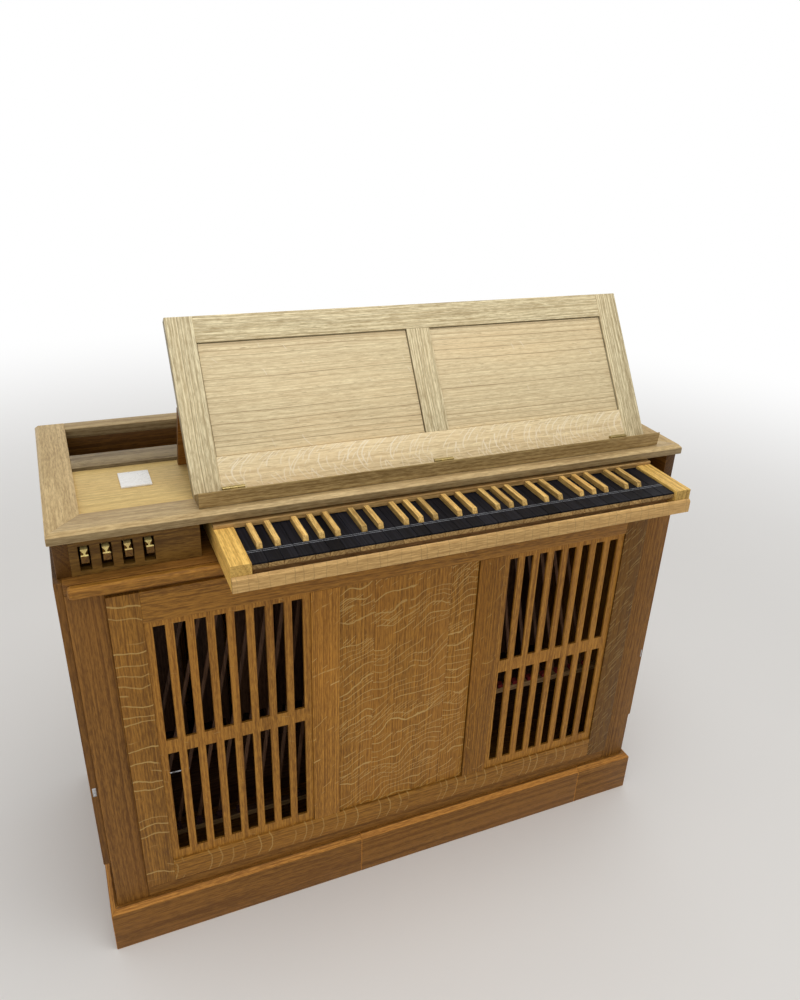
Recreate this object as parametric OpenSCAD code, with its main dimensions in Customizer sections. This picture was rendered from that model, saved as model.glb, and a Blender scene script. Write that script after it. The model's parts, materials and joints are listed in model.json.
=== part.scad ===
// Small oak chest organ with a sliding keyboard, four stop levers and a standing music desk.
// Millimetres. X to the player's right, Y away from the player, Z up.

/* [Lower case] */
// Width of the lower case between its outer faces
case_w = 1096; // [1060:1:1300]
// Depth of the lower case
case_d = 455; // [430:1:560]
// Height of the lower case up to the underside of the deck board
case_h = 752; // [740:1:900]
// Thickness of the side boards of the case
side_t = 22; // [18:1:28]
// Height of the plinth with its chamfer
plinth_h = 96; // [80:1:110]
// Thickness of the plinth boards
plinth_t = 14; // [12:1:20]
// Chamfer along the top edge of the plinth
plinth_chamfer = 8; // [3:1:10]
// Width of the two front posts
post_w = 54; // [50:1:70]
// Thickness of the front posts and front rails
post_t = 22; // [18:1:28]
// Height at which the floor board lies
floor_z = 20; // [10:1:60]
// Thickness of the floor board
floor_t = 18; // [12:1:22]
// Thickness of the deck board on top of the lower case
deck_t = 18; // [15:1:24]

/* [Front panel] */
// Height of the bottom edge of the front frame
front_z = 124; // [112:1:150]
// Height of the rail that shows between the front frame and the deck board
front_gap = 11; // [6:1:20]
// Thickness of the front frame
front_t = 22; // [18:1:26]
// How far the front frame stands proud of the posts
front_proud = 6; // [2:1:10]
// Width of the outer stiles of the front frame
front_stile = 48; // [40:1:60]
// Width of the two stiles between the grilles and the centre panel
front_mid = 50; // [40:1:60]
// Height of the bottom rail and of the top rail of the front frame
front_rail = [48, 56]; // [40:1:64]
// Width of the left grille
grille_w = 264; // [250:1:270]
// How far the grilles and the centre panel lie behind the face of the front frame
front_sink = 4; // [2:1:8]
// Thickness of a grille
grille_t = 5; // [4:0.5:10]
// Number of slots in one row of a grille
slot_count = 8; // [6:1:9]
// Width of one slot of a grille
slot_w = 18.4; // [14:0.1:19]
// Wood between the edge of a grille and its first slot
grille_edge = 13.2; // [10:0.1:18]
// Wood below the bottom row of slots and above the top row
grille_border = [19.5, 11.5]; // [6:0.5:26]
// Height of the rail between the two rows of slots
grille_bar = 28.5; // [20:0.5:36]
// Height of the bottom row of slots
slot_low_h = 225.5; // [180:0.5:230]
// Depth of the grooves that hold panels
groove = 8; // [5:1:10]
// Thickness of the flat panels
panel_t = 8; // [6:1:10]

/* [Side panels and back] */
// Thickness of the removable panel on each side
wing_t = 12; // [8:1:16]
// Height of the rounded lower edge of the side panels
wing_z = 188; // [150:1:260]
// Distance of the side panels from the front plane and from the back
wing_inset = 8; // [4:1:20]
// Radius of the lower corners of the side panels
wing_r = 14; // [8:1:20]
// Width of the frame members of the back
back_member = 62; // [50:1:80]
// Thickness of the back frame
back_t = 20; // [16:1:22]

/* [Upper case] */
// Height of the stop jamb between the deck board and the top frame
upper_h = 59; // [56:1:80]
// Distance of the stop jamb's right end from the left side of the case
jamb_end = 202; // [190:1:208]
// Distance of the stop jamb from the lower front plane
jamb_y = 21; // [18:1:26]
// Thickness of the stop jamb
jamb_t = 15; // [12:1:18]
// Thickness of the upper side boards
upper_side_t = 21; // [18:1:24]
// How far the upper side boards stand out over the lower case
upper_out = 6; // [2:1:8]
// How far the back of the upper case stands in from the back of the lower one
upper_back_in = 14; // [8:1:20]
// Height of the rounded moulding along the front edge of the deck board
ledge_h = 18; // [14:1:18]
// How far that moulding stands in front of the posts
ledge_out = 17; // [10:1:20]
// Distance of the ends of that moulding from the sides of the case
ledge_end = 5; // [2:1:12]
// Radius of the two long edges of that moulding
ledge_r = 3; // [1:0.5:6]

/* [Top] */
// Thickness of the top frame
top_t = 18; // [16:1:22]
// Chamfer round the upper edge of the top frame
top_chamfer = 6; // [3:1:8]
// How far the top frame stands in from the lower front plane
top_y = 13; // [8:1:16]
// How far the top frame stands out past the sides of the lower case
top_out = 12; // [10:1:18]
// How far the top frame stands out past the back of the lower case
top_back_out = 8; // [4:1:12]
// Width of the front rail of the top frame
top_rail_front = 55; // [50:1:60]
// Width of the back rail of the top frame
top_rail_back = 40; // [34:1:50]
// Width of the side members of the top frame
top_stile = 50; // [40:1:60]
// Depth of the panel opening, front to back
top_panel_d = 172; // [160:1:180]
// Width of the rail between the panel and the well
top_rail_mid = 56; // [40:1:64]
// Thickness of the board under that rail
well_front_t = 12; // [9:1:18]
// How far the top panel lies below the top of its frame
top_sink = 6; // [3:1:8]
// Width and depth of the bare plaque on the top panel
plaque_size = [48, 57]; // [20:1:80]
// Thickness of that plaque
plaque_t = 3; // [1:0.5:4]
// Distance of the plaque from the left inner edge of the top frame
plaque_x = 67; // [40:1:90]
// Distance of the plaque from the front inner edge of the top frame
plaque_y = 82; // [30:1:100]

/* [Keyboard] */
// Distance between neighbouring natural keys
key_pitch = 23.5; // [22:0.1:23.8]
// Least distance of the keyboard from the right side of the case
tray_right = 52; // [42:1:57]
// Gap between neighbouring keys
key_gap = 0.8; // [0.5:0.1:1.2]
// Thickness of the dark cover of a natural key
cover_t = 3; // [2:0.5:4]
// Height of the wooden body of a key
body_h = 7.5; // [6:0.5:9]
// Visible length of the natural keys in front of the name rail
natural_len = 111; // [95:1:120]
// Visible length of the sharp keys in front of the name rail
sharp_len = 71; // [60:1:80]
// Width of the sharp keys
sharp_w = 9; // [8:0.5:10]
// How far the sharp keys rise over the natural keys
sharp_rise = 8; // [6:0.5:8.5]
// Slope along the front end of a sharp key
sharp_slope = 4.5; // [2:0.5:6]
// How far the sharps beside a group's middle are set off their gap
sharp_offset = 2; // [0:0.5:3]
// Length of the keys behind the front face of the name rail
key_tail = 125; // [90:1:140]
// Width of the key cheeks
cheek_w = 31; // [28:1:36]
// Gap between the cheeks and the outer keys
cheek_gap = 1; // [0.5:0.1:2]
// How far the cheeks rise over the natural keys
cheek_rise = 4; // [3:0.1:4.5]
// Depth of the name rail, and its height over the cheeks
name_rail_size = [18, 6.3]; // [5:0.1:24]
// Gap between the naturals and the name rail, which comes down between the cheeks
name_rail_gap = 1.1; // [1:0.1:2]
// Distance of the name rail's front face from the lower front plane
name_rail_y = 11; // [6:1:16]
// Distance of the keyboard's left side from the left side of the case
tray_x = 220; // [210:1:240]
// How far the slip stands in front of the lower front plane when pulled out
slip_out = 110; // [100:1:114]
// Thickness of the slip in front of the keys
slip_t = 5; // [4.5:0.5:8]
// Height of the slip
slip_h = 24.5; // [20:0.5:26]
// Height and depth of the bevel on the slip
slip_bevel = [4, 4]; // [2:0.5:6]
// Thickness of the keyboard's base board
base_t = 10; // [8:1:12]
// Gap under the keyboard, filled by its runners
tray_lift = 5; // [4:0.5:8]
// Width of each runner
runner_w = 26; // [15:1:40]
// Distance of the runners from the keyboard's sides
runner_in = 60; // [40:1:90]
// Distance of the runners' front ends behind the lower front plane
runner_y = 4; // [0:1:20]
// Free space kept round the runners and the pushed-in keyboard
clear = 8; // [5:1:12]
// Height and depth of the two rails that the keys lie on
key_rail = [20, 18]; // [8:1:24]
// Running clearance of sliding and turning pieces
run_gap = 0.3; // [0.2:0.1:0.5]

/* [Stop levers] */
// Number of stop levers
stop_count = 4; // [2:1:5]
// Distance between neighbouring stop levers
stop_pitch = 30; // [26:1:34]
// Distance of the first stop from the left side of the case
stop_x = 36; // [32:1:44]
// Width of the slots in the stop jamb
stop_slot_w = 16; // [14:0.5:18]
// Height of the slots in the stop jamb
stop_slot_h = 41; // [38:1:44]
// Height of the lower end of the slots over the deck board
stop_slot_z = 7; // [5:1:10]
// Width of a stop lever
lever_w = 12.5; // [10:0.5:13]
// Height of a stop lever
lever_h = 11; // [9:0.5:13]
// How far the levers stand out of the jamb
lever_out = 19; // [10:1:20]
// Distance of the levers' pin behind the front of the jamb
lever_pivot = 105; // [80:1:140]
// Diameter of that pin
lever_pin_d = 5; // [4:0.5:6]
// Radial play of pins in their bores
pin_play = 0.08; // [0.02:0.01:0.1]
// Height of the levers' middle line over the lower end of their slots, at rest
lever_rest = 28.5; // [24:0.5:30]
// Wood behind the pin, on the levers and on the comb that carries them
pin_wood = 9; // [6:1:14]
// How far the comb reaches past the levers' wood, front and back
comb_wood = 5; // [3:1:8]
// Height of the comb's foot under its gaps
comb_foot = 12; // [8:1:16]
// Gap beside each lever in that comb
comb_gap = 1; // [0.5:0.5:2]
// Radius and depth of the waist cut in each side of a lever's head
waist = [10, 3]; // [1:0.5:16]
// Radius and depth of the hollow in the top of a lever's head
scoop = [13, 3]; // [1:0.5:18]

/* [Music desk] */
// Distance of the desk's right end from the right side of the case
desk_right = 38; // [34:1:80]
// Distance of the desk's left end from the left side of the case
desk_x = 204; // [200:1:214]
// Height of the desk along its face
desk_l = 285; // [240:1:330]
// Thickness of the desk frame
desk_t = 20; // [18:1:24]
// Lean of the desk back from upright, in degrees
desk_lean = 34; // [28:0.5:36]
// Distance of the desk's lower face edge behind the front rail of the top
foot_back = 1; // [1:0.5:4]
// Height of that edge over the top
foot_rise = 5; // [1:0.5:6]
// Width of the desk's outer stiles, its middle stile and its top rail
desk_stile = 44; // [36:1:56]
// Height of the desk's bottom rail
desk_rail = 55; // [45:1:70]
// How far the desk's panels lie behind the face of its frame
desk_sink = 4; // [2:1:6]
// Depth of the lip along its upper face
lip_d = 50; // [40:1:52]
// Gap between the lip's upper edge and the desk
lip_gap = 0.8; // [0.6:0.1:1.2]
// How far the lip opens beyond square to the desk, in degrees
lip_more = 7.5; // [0:0.5:9]
// How far the lip's bottom edge lies in front of its upper back edge
lip_heel = 3; // [2:0.5:6]
// How far the lip's front face leans in at the bottom
lip_rake = 3; // [0:0.5:10]
// Width of a hinge of the lip and of the prop
hinge_w = 36; // [26:1:44]
// Thickness of a hinge leaf
leaf_t = 1.2; // [1:0.1:1.6]
// Length of a hinge leaf, which is let in but for this much
leaf_l = 4; // [3.5:0.5:18]
// Diameter of a hinge barrel
barrel_d = 5; // [4:0.5:5.5]
// Distance of the lip's hinge pin from the face of the desk
hinge_off = 3; // [2.8:0.1:4]
// Height of the prop's pin along the back of the desk
prop_u = 143; // [120:1:150]
// Distance of the prop's pin behind the desk
prop_off = 8; // [7.5:0.5:10]
// Slope of the prop from upright, in degrees
prop_lean = 24.5; // [20:0.5:30]
// Thickness of the prop
prop_t = 10; // [9:0.5:12]
// How far the prop reaches above its pin
prop_top = 3; // [2.5:0.5:4]
// How far the prop's pin lies under the face that folds against the desk
prop_face = 2.5; // [2.3:0.1:3.5]
// Diameter of the prop's pins
prop_pin_d = 3; // [2:0.5:3.5]
// Brass above and below the pin in the brackets of the prop
bracket_wall = 2; // [1:0.5:3]
// Depth of the notches in the prop round its hinges
notch_d = 12; // [9:1:20]
// Gap beside a hinge in its notch
notch_gap = 2; // [1:0.5:4]
// How far each pin reaches into the prop
pin_in = 8; // [5:1:12]

/* [Inside] */
// Number of trackers
tracker_count = 27; // [18:1:30]
// Width and thickness of a tracker
tracker_size = [7, 3]; // [2:0.5:8]
// Distance of the outer trackers from the case's sides, at the lower and the upper rail
tracker_end = [80, 190]; // [60:1:260]
// Height of the lower tracker rails, left and right of the middle
rail_low_z = [150, 296]; // [120:1:340]
// Space between the upper tracker rail and the deck board
rail_drop = 36; // [30:1:60]
// Section of the tracker rails
rail_size = [14, 12]; // [8:1:20]
// Distance of the tracker rails behind the front plane
rail_y = 72; // [60:1:90]
// Number of wooden pipes
pipe_count = 12; // [8:1:13]
// Width and depth of a wooden pipe
pipe_size = [68, 84]; // [50:1:90]
// Free space above the tallest pipe
pipe_top = 36; // [10:1:120]
// Height lost from one pipe to the next
pipe_step = 14; // [5:1:20]
// Wall of a wooden pipe
pipe_wall = 9; // [7:1:12]
// Height of the pipes' mouths and of the blocks below them
mouth = [22, 60]; // [15:1:80]
// Height and depth of the windchest
chest_size = [78, 200]; // [60:1:230]
// Free space behind the pipes and the windchest
pipe_back = 40; // [10:1:60]
// Free space beside the outer pipes
pipe_side = 8; // [4:1:20]
// Length of the stopper in the top of a pipe
stopper = 40; // [20:1:60]
// Width, and height over the rail, of a felt pad
felt_size = [11, 9]; // [6:0.5:12]

/* [Hidden] */

// Round shapes are this fine
$fn = 48;
// A cutter reaches this far past what it cuts
over = 1;

// The whole part is centred on its outermost faces: the plinth and the pulled-out slip
x_left = -case_w / 2;
y_shift = -(case_d + plinth_t - slip_out) / 2;
deck_top = case_h + deck_t;
top_z = deck_top + upper_h;
top_face = top_z + top_t;
front_w = case_w - 2 * post_w;
front_y = -front_proud;
centre_w = front_w - 2 * front_stile - 2 * front_mid - 2 * grille_w;
front_h = case_h - front_z - front_gap;
panel_h = front_h - front_rail[0] - front_rail[1];
panel_y0 = front_y + front_sink;
slot_step = (grille_w - 2 * grille_edge - slot_w) / (slot_count - 1);
slot_high_h = panel_h - grille_border[0] - grille_border[1] - grille_bar - slot_low_h;
// Left edges and widths of the three fields of the front frame
front_fields = [[front_stile, grille_w], [front_stile + grille_w + front_mid, centre_w],
    [front_w - front_stile - grille_w, grille_w]];
panel_x = top_stile - top_out;
panel_y = top_y + top_rail_front;
panel_w = case_w - 2 * panel_x;
panel_top = top_face - top_sink;
well_y = panel_y + top_panel_d + top_rail_mid;
well_d = case_d + top_back_out - top_rail_back - well_y;
upper_d = case_d - upper_back_in - jamb_y;
upper_inner = upper_side_t - upper_out;

// As many natural keys, from C upwards, as there is room for
natural_count = floor((case_w - tray_x - tray_right - 2 * (cheek_w + cheek_gap)) / key_pitch);
tray_w = natural_count * key_pitch + 2 * (cheek_w + cheek_gap);
base_z = deck_top + tray_lift;
key_z = base_z + base_t + key_rail[1];
cover_z = key_z + body_h;
natural_z = cover_z + cover_t;
slip_z = base_z + slip_h;
cheek_z = natural_z + cheek_rise;
keys_x = tray_x + cheek_w + cheek_gap;
keys_y = name_rail_y - natural_len;
tray_back = name_rail_y + key_tail;
runner_x = [tray_x + runner_in, tray_x + tray_w - runner_in - runner_w];

lever_z = deck_top + stop_slot_z + lever_rest;
pin_y = jamb_y + lever_pivot;
stop_block_x = stop_x - stop_pitch / 2;
stop_block_w = stop_count * stop_pitch;

lean_sin = sin(desk_lean);
lean_cos = cos(desk_lean);
desk_w = case_w - desk_x - desk_right;
desk_field_w = (desk_w - 3 * desk_stile) / 2;
foot_y = panel_y + foot_back;
foot_z = top_face + foot_rise;
floor_at = panel_top + run_gap;
prop_pivot = [foot_y + prop_u * lean_sin + (desk_t + prop_off) * lean_cos,
    foot_z + prop_u * lean_cos - (desk_t + prop_off) * lean_sin];
prop_l = (prop_pivot[1] - floor_at) / cos(prop_lean);
// The hinge pin of the lip, the direction along the lip to the back, and the point under the pin
lip_pin = [foot_y + hinge_off * (lean_sin - lean_cos), foot_z + hinge_off * (lean_sin + lean_cos)];
lip_back = [cos(desk_lean - lip_more), -sin(desk_lean - lip_more)];
lip_foot = lip_pin + hinge_off * [lip_back[1], -lip_back[0]];
knuckle = (hinge_w - 2 * run_gap) / 3;
pin_d = barrel_d / 2;
hinge_x = [desk_stile, desk_w / 2 - hinge_w / 2, desk_w - desk_stile - hinge_w];
chest_z = floor_z + floor_t;
rail_top_z = case_h - rail_drop - rail_size[1];
pipe_tall = case_h - chest_z - chest_size[0] - pipe_top;
pipes_y = case_d - back_t - pipe_back - pipe_size[1];
pipe_pitch = (case_w - 2 * side_t - 2 * pipe_side - pipe_size[0]) / (pipe_count - 1);
chest_y = case_d - back_t - pipe_back / 4 - chest_size[1];

// Natural keys that have a sharp on their right, counted within an octave that starts at C
function has_sharp(i) = len(search(i % 7, [0, 1, 3, 4, 5])) > 0 && i < natural_count - 1;
// Side on which a sharp is set off its gap: the outer sharps of a group lean outwards
function sharp_side(i) = let(n = i % 7) n == 0 || n == 3 ? -1 : (n == 1 || n == 5 ? 1 : 0);
function sharp_x(i) = keys_x + (i + 1) * key_pitch + sharp_side(i) * sharp_offset;

// Moves children from the case's front left floor corner to the part's own origin
module placed() {
    translate([x_left, y_shift, 0]) children();
}

// A profile drawn in the YZ plane, carried along X from x over a length w
module along_x(x, w) {
    translate([x, 0, 0]) rotate([90, 0, 90]) linear_extrude(height = w) children();
}

// A profile drawn in the XZ plane, carried along Y from y over a depth d
module along_y(y, d) {
    translate([0, y + d, 0]) rotate([90, 0, 0]) linear_extrude(height = d) children();
}

// Places children in the desk's own frame: X along it, Y through it to the back, Z up its face
module on_desk() {
    translate([desk_x, foot_y, foot_z]) rotate([-desk_lean, 0, 0]) children();
}

// One plinth board of length l, chamfered on top and mitred at both ends
module plinth_board(l) {
    intersection() {
        along_x(-plinth_t, l + 2 * plinth_t)
            polygon([[-plinth_t, 0], [0, 0], [0, plinth_h],
                [-plinth_t + plinth_chamfer, plinth_h], [-plinth_t, plinth_h - plinth_chamfer]]);
        linear_extrude(height = plinth_h)
            polygon([[-plinth_t, -plinth_t], [l + plinth_t, -plinth_t], [l, 0], [0, 0]]);
    }
}

module plinth_front() {
    color("burlywood") placed() plinth_board(case_w);
}

module plinth_back() {
    color("burlywood") placed() translate([case_w, case_d, 0]) rotate(180) plinth_board(case_w);
}

module plinth_left() {
    color("burlywood") placed() translate([0, case_d, 0]) rotate(-90) plinth_board(case_d);
}

module plinth_right() {
    color("burlywood") placed() translate([case_w, 0, 0]) rotate(90) plinth_board(case_d);
}

module floor_board() {
    color("tan") placed() translate([side_t, post_t, floor_z])
        cube([case_w - 2 * side_t, case_d - back_t - post_t, floor_t]);
}

module front_post(x) {
    color("peru") placed() translate([x, 0, 0]) cube([post_w, post_t, case_h]);
}

module front_post_left() {
    front_post(0);
}

module front_post_right() {
    front_post(case_w - post_w);
}

// The rail under the front frame and the one over it, seen as a shadow line
module front_rails() {
    color("peru") placed() {
        translate([post_w, 0, 0]) cube([front_w, post_t, front_z]);
        translate([post_w, 0, front_z + front_h]) cube([front_w, post_t, front_gap]);
    }
}

module side_board(x) {
    color("peru") placed() translate([x, post_t, 0]) cube([side_t, case_d - back_t - post_t, case_h]);
}

module side_left() {
    side_board(0);
}

module side_right() {
    side_board(case_w - side_t);
}

// A removable panel on the outside of the case, rounded at its two lower corners
module side_panel(x) {
    d = case_d - 2 * wing_inset;
    color("saddlebrown") placed() along_x(x, wing_t) {
        translate([wing_inset, wing_z + wing_r]) square([d, deck_top - wing_z - wing_r]);
        translate([wing_inset + wing_r, wing_z]) square([d - 2 * wing_r, wing_r + over]);
        for (y = [wing_inset + wing_r, wing_inset + d - wing_r])
            translate([y, wing_z + wing_r]) circle(r = wing_r);
    }
}

module side_panel_left() {
    side_panel(-wing_t);
}

module side_panel_right() {
    side_panel(case_w);
}

// The openings of the back frame, one each side of its middle member, made larger by grow
module back_openings(grow) {
    w = (case_w - 3 * back_member) / 2;
    for (x = [back_member, 2 * back_member + w])
        translate([x - grow, plinth_h + back_member - grow])
            square([w + 2 * grow, case_h - plinth_h - 2 * back_member + 2 * grow]);
}

module back_frame() {
    color("peru") placed() difference() {
        along_y(case_d - back_t, back_t) difference() {
            square([case_w, case_h]);
            back_openings(0);
        }
        along_y(case_d - back_t / 2 - panel_t / 2, panel_t) back_openings(groove);
    }
}

module back_panels() {
    color("tan") placed() along_y(case_d - back_t / 2 - panel_t / 2, panel_t) back_openings(groove);
}

// One field of the front frame, made larger all round by grow
module front_field(f, grow) {
    translate([post_w + f[0] - grow, front_z + front_rail[0] - grow])
        square([f[1] + 2 * grow, panel_h + 2 * grow]);
}

module front_frame() {
    color("burlywood") placed() difference() {
        along_y(front_y, front_t) difference() {
            translate([post_w, front_z]) square([front_w, front_h]);
            for (f = front_fields) front_field(f, 0);
        }
        along_y(panel_y0, grille_t) {
            front_field(front_fields[0], groove);
            front_field(front_fields[2], groove);
        }
        along_y(panel_y0, panel_t) front_field(front_fields[1], groove);
    }
}

// A slatted grille: two rows of upright slots with a bar between them
module grille(f) {
    color("peru") placed() along_y(panel_y0, grille_t) difference() {
        front_field(f, groove);
        translate([post_w + f[0] + grille_edge, front_z + front_rail[0] + grille_border[0]])
            for (i = [0 : slot_count - 1]) translate([i * slot_step, 0]) {
                square([slot_w, slot_low_h]);
                translate([0, slot_low_h + grille_bar]) square([slot_w, slot_high_h]);
            }
    }
}

module grille_left() {
    grille(front_fields[0]);
}

module grille_right() {
    grille(front_fields[2]);
}

module centre_panel() {
    color("burlywood") placed() along_y(panel_y0, panel_t) front_field(front_fields[1], groove);
}

module deck() {
    color("tan") placed() translate([0, 0, case_h]) cube([case_w, case_d, deck_t]);
}

// The moulding along the front of the deck, with its two long edges rounded
module ledge() {
    r = ledge_r;
    color("peru") placed() along_x(ledge_end, case_w - 2 * ledge_end) {
        translate([-ledge_out + r, deck_top - ledge_h]) square([ledge_out - r, ledge_h]);
        translate([-ledge_out, deck_top - ledge_h + r]) square([r + over, ledge_h - 2 * r]);
        for (z = [deck_top - ledge_h + r, deck_top - r]) translate([-ledge_out + r, z]) circle(r = r);
    }
}

// The board that the stop levers come through, one slot for each
module stop_jamb() {
    color("sienna") placed() along_y(jamb_y, jamb_t) difference() {
        translate([upper_inner, deck_top]) square([jamb_end - upper_inner, upper_h]);
        for (i = [0 : stop_count - 1])
            translate([stop_x + i * stop_pitch - stop_slot_w / 2, deck_top + stop_slot_z])
                square([stop_slot_w, stop_slot_h]);
    }
}

module upper_side(x) {
    color("sienna") placed() translate([x, jamb_y, deck_top]) cube([upper_side_t, upper_d, upper_h]);
}

module upper_side_left() {
    upper_side(-upper_out);
}

module upper_side_right() {
    upper_side(case_w + upper_out - upper_side_t);
}

// The back board, whose face is the far wall of the well
module upper_back() {
    y = well_y + well_d;
    color("sienna") placed() translate([upper_inner, y, deck_top])
        cube([case_w - 2 * upper_inner, case_d - upper_back_in - y, upper_h]);
}

// The near wall of the well, under the rail between panel and well
module well_front() {
    color("sienna") placed() translate([upper_inner, well_y - well_front_t, deck_top])
        cube([case_w - 2 * upper_inner, well_front_t, upper_h]);
}

// The frame that closes the top, chamfered round its upper edge, open over panel and well
module top_frame() {
    w = case_w + 2 * top_out;
    d = case_d + top_back_out - top_y;
    color("wheat") placed() difference() {
        intersection() {
            along_x(-top_out, w) chamfered(top_y, d);
            along_y(top_y, d) chamfered(-top_out, w);
        }
        translate([panel_x, panel_y, top_z - over]) cube([panel_w, top_panel_d, top_t + 2 * over]);
        translate([panel_x, well_y, top_z - over]) cube([panel_w, well_d, top_t + 2 * over]);
        translate([panel_x - groove, panel_y - groove, panel_top - panel_t])
            cube([panel_w + 2 * groove, top_panel_d + 2 * groove, panel_t]);
    }
}

// Section of the top frame's outline, from a over a width w
module chamfered(a, w) {
    c = top_chamfer;
    polygon([[a, top_z], [a + w, top_z], [a + w, top_face - c],
        [a + w - c, top_face], [a + c, top_face], [a, top_face - c]]);
}

module top_panel() {
    color("wheat") placed() translate([panel_x - groove, panel_y - groove, panel_top - panel_t])
        cube([panel_w + 2 * groove, top_panel_d + 2 * groove, panel_t]);
}

module plaque() {
    color("white") placed() translate([panel_x + plaque_x, panel_y + plaque_y, panel_top])
        cube([plaque_size[0], plaque_size[1], plaque_t]);
}

// The two strips on the deck that the keyboard slides on
module runners() {
    color("tan") placed() for (x = runner_x) translate([x, runner_y, deck_top])
        cube([runner_w, well_y - well_front_t - clear - runner_y, tray_lift - run_gap]);
}

// Base board of the keyboard with the two rails that the keys lie on
module tray_frame() {
    w = tray_w - 2 * cheek_w;
    y = slip_t - slip_out;
    color("tan") placed() translate([tray_x + cheek_w, y, base_z]) {
        cube([w, tray_back - y, base_t]);
        for (s = [key_rail[0], (tray_back - y) / 2])
            translate([0, s, 0]) cube([w, key_rail[0], key_z - base_z]);
    }
}

// The board in front of the keys, bevelled along its upper edge
module slip() {
    color("burlywood") placed() along_x(tray_x, tray_w)
        polygon([[-slip_out, base_z], [slip_t - slip_out, base_z], [slip_t - slip_out, slip_z],
            [slip_bevel[0] - slip_out, slip_z], [-slip_out, slip_z - slip_bevel[1]]]);
}

// A cheek beside the keys, which stands up over the slip in front of it
module cheek(x) {
    y = slip_t - slip_out;
    color("goldenrod") placed() translate([x, y, base_z])
        cube([cheek_w, tray_back - y, cheek_z - base_z]);
}

module cheek_left() {
    cheek(tray_x);
}

module cheek_right() {
    cheek(tray_x + tray_w - cheek_w);
}

// The rail over the keys: it lies on both cheeks and comes down between them
module name_rail() {
    z = natural_z + name_rail_gap;
    color("burlywood") placed() along_y(name_rail_y, name_rail_size[0]) {
        translate([tray_x, cheek_z]) square([tray_w, name_rail_size[1]]);
        translate([tray_x + cheek_w, z]) square([tray_w - 2 * cheek_w, cheek_z + over - z]);
    }
}

// Outline of one natural key seen from above, cut back on the sides where a sharp stands
module natural_outline(i) {
    back = name_rail_y + key_tail;
    difference() {
        translate([keys_x + i * key_pitch + key_gap / 2, keys_y])
            square([key_pitch - key_gap, back - keys_y]);
        for (j = [i - 1, i]) if (j >= 0 && has_sharp(j))
            translate([sharp_x(j) - sharp_w / 2 - key_gap, name_rail_y - sharp_len - key_gap])
                square([sharp_w + 2 * key_gap, sharp_len + key_tail + 2 * key_gap]);
    }
}

module natural_bodies() {
    color("burlywood") placed() translate([0, 0, key_z]) linear_extrude(height = body_h)
        for (i = [0 : natural_count - 1]) natural_outline(i);
}

module natural_covers() {
    color([0.09, 0.09, 0.11]) placed() translate([0, 0, cover_z]) linear_extrude(height = cover_t)
        for (i = [0 : natural_count - 1]) natural_outline(i);
}

// The raised keys, sloped at their front ends and as low as the naturals under the name rail
module sharps() {
    y = name_rail_y - sharp_len;
    back = name_rail_y - key_gap;
    z = natural_z + sharp_rise;
    color("khaki") placed() for (i = [0 : natural_count - 1]) if (has_sharp(i))
        along_x(sharp_x(i) - sharp_w / 2, sharp_w)
            polygon([[y, key_z], [tray_back, key_z], [tray_back, natural_z],
                [back, natural_z], [back, z], [y + sharp_slope, z], [y, natural_z]]);
}

// A stop lever: a bar on a pin, with a waisted and hollowed head in front of the jamb
module stop_lever(i) {
    x = stop_x + i * stop_pitch;
    y = jamb_y - lever_out;
    waist_y = y + lever_out * 2 / 3;
    color("peru") placed() difference() {
        translate([x - lever_w / 2, y, lever_z - lever_h / 2])
            cube([lever_w, pin_y + pin_wood - y, lever_h]);
        for (s = [-1, 1])
            translate([x + s * (lever_w / 2 + waist[0] - waist[1]), waist_y, lever_z - lever_h])
                cylinder(r = waist[0], h = 2 * lever_h);
        translate([x - lever_w, waist_y, lever_z + lever_h / 2 + scoop[0] - scoop[1]]) rotate([0, 90, 0])
            cylinder(r = scoop[0], h = 2 * lever_w);
        translate([x - lever_w, pin_y, lever_z]) rotate([0, 90, 0])
            cylinder(d = lever_pin_d + 2 * pin_play, h = 2 * lever_w);
    }
}

module stop_lever_1() {
    stop_lever(0);
}

module stop_lever_2() {
    stop_lever(1);
}

module stop_lever_3() {
    stop_lever(2);
}

module stop_lever_4() {
    stop_lever(3);
}

// The comb that carries the levers' pin, one gap for each lever
module stop_block() {
    gap = lever_w + 2 * comb_gap;
    d = 2 * (pin_wood + comb_wood);
    color("tan") placed() difference() {
        translate([stop_block_x, pin_y - d / 2, deck_top]) cube([stop_block_w, d, upper_h - clear]);
        for (i = [0 : stop_count - 1])
            translate([stop_x + i * stop_pitch - gap / 2, pin_y - d / 2 - over, deck_top + comb_foot])
                cube([gap, d + 2 * over, upper_h]);
        translate([stop_block_x - over, pin_y, lever_z]) rotate([0, 90, 0])
            cylinder(d = lever_pin_d, h = stop_block_w + 2 * over);
    }
}

module stop_pin() {
    color("silver") placed() translate([stop_block_x, pin_y, lever_z]) rotate([0, 90, 0])
        cylinder(d = lever_pin_d, h = stop_block_w);
}

// The two fields of the desk frame in its own frame, made larger by grow
module desk_fields(grow) {
    for (x = [desk_stile, 2 * desk_stile + desk_field_w])
        translate([x - grow, desk_rail - grow])
            square([desk_field_w + 2 * grow, desk_l - desk_rail - desk_stile + 2 * grow]);
}

// The desk frame, whose foot is cut level and stands behind the front rail of the top
module desk_frame() {
    deep = 3 * desk_t;
    color("khaki") placed() difference() {
        on_desk() difference() {
            translate([0, 0, -2 * desk_t]) cube([desk_w, desk_t, desk_l + 2 * desk_t]);
            along_y(-over, desk_t + 2 * over) desk_fields(0);
            along_y(desk_sink, panel_t) desk_fields(groove);
        }
        translate([desk_x - over, panel_y - deep, floor_at - deep])
            cube([desk_w + 2 * over, 3 * deep, deep]);
        translate([desk_x - over, panel_y - deep, floor_at - over])
            cube([desk_w + 2 * over, deep + run_gap, foot_z - floor_at + over]);
    }
}

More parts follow.
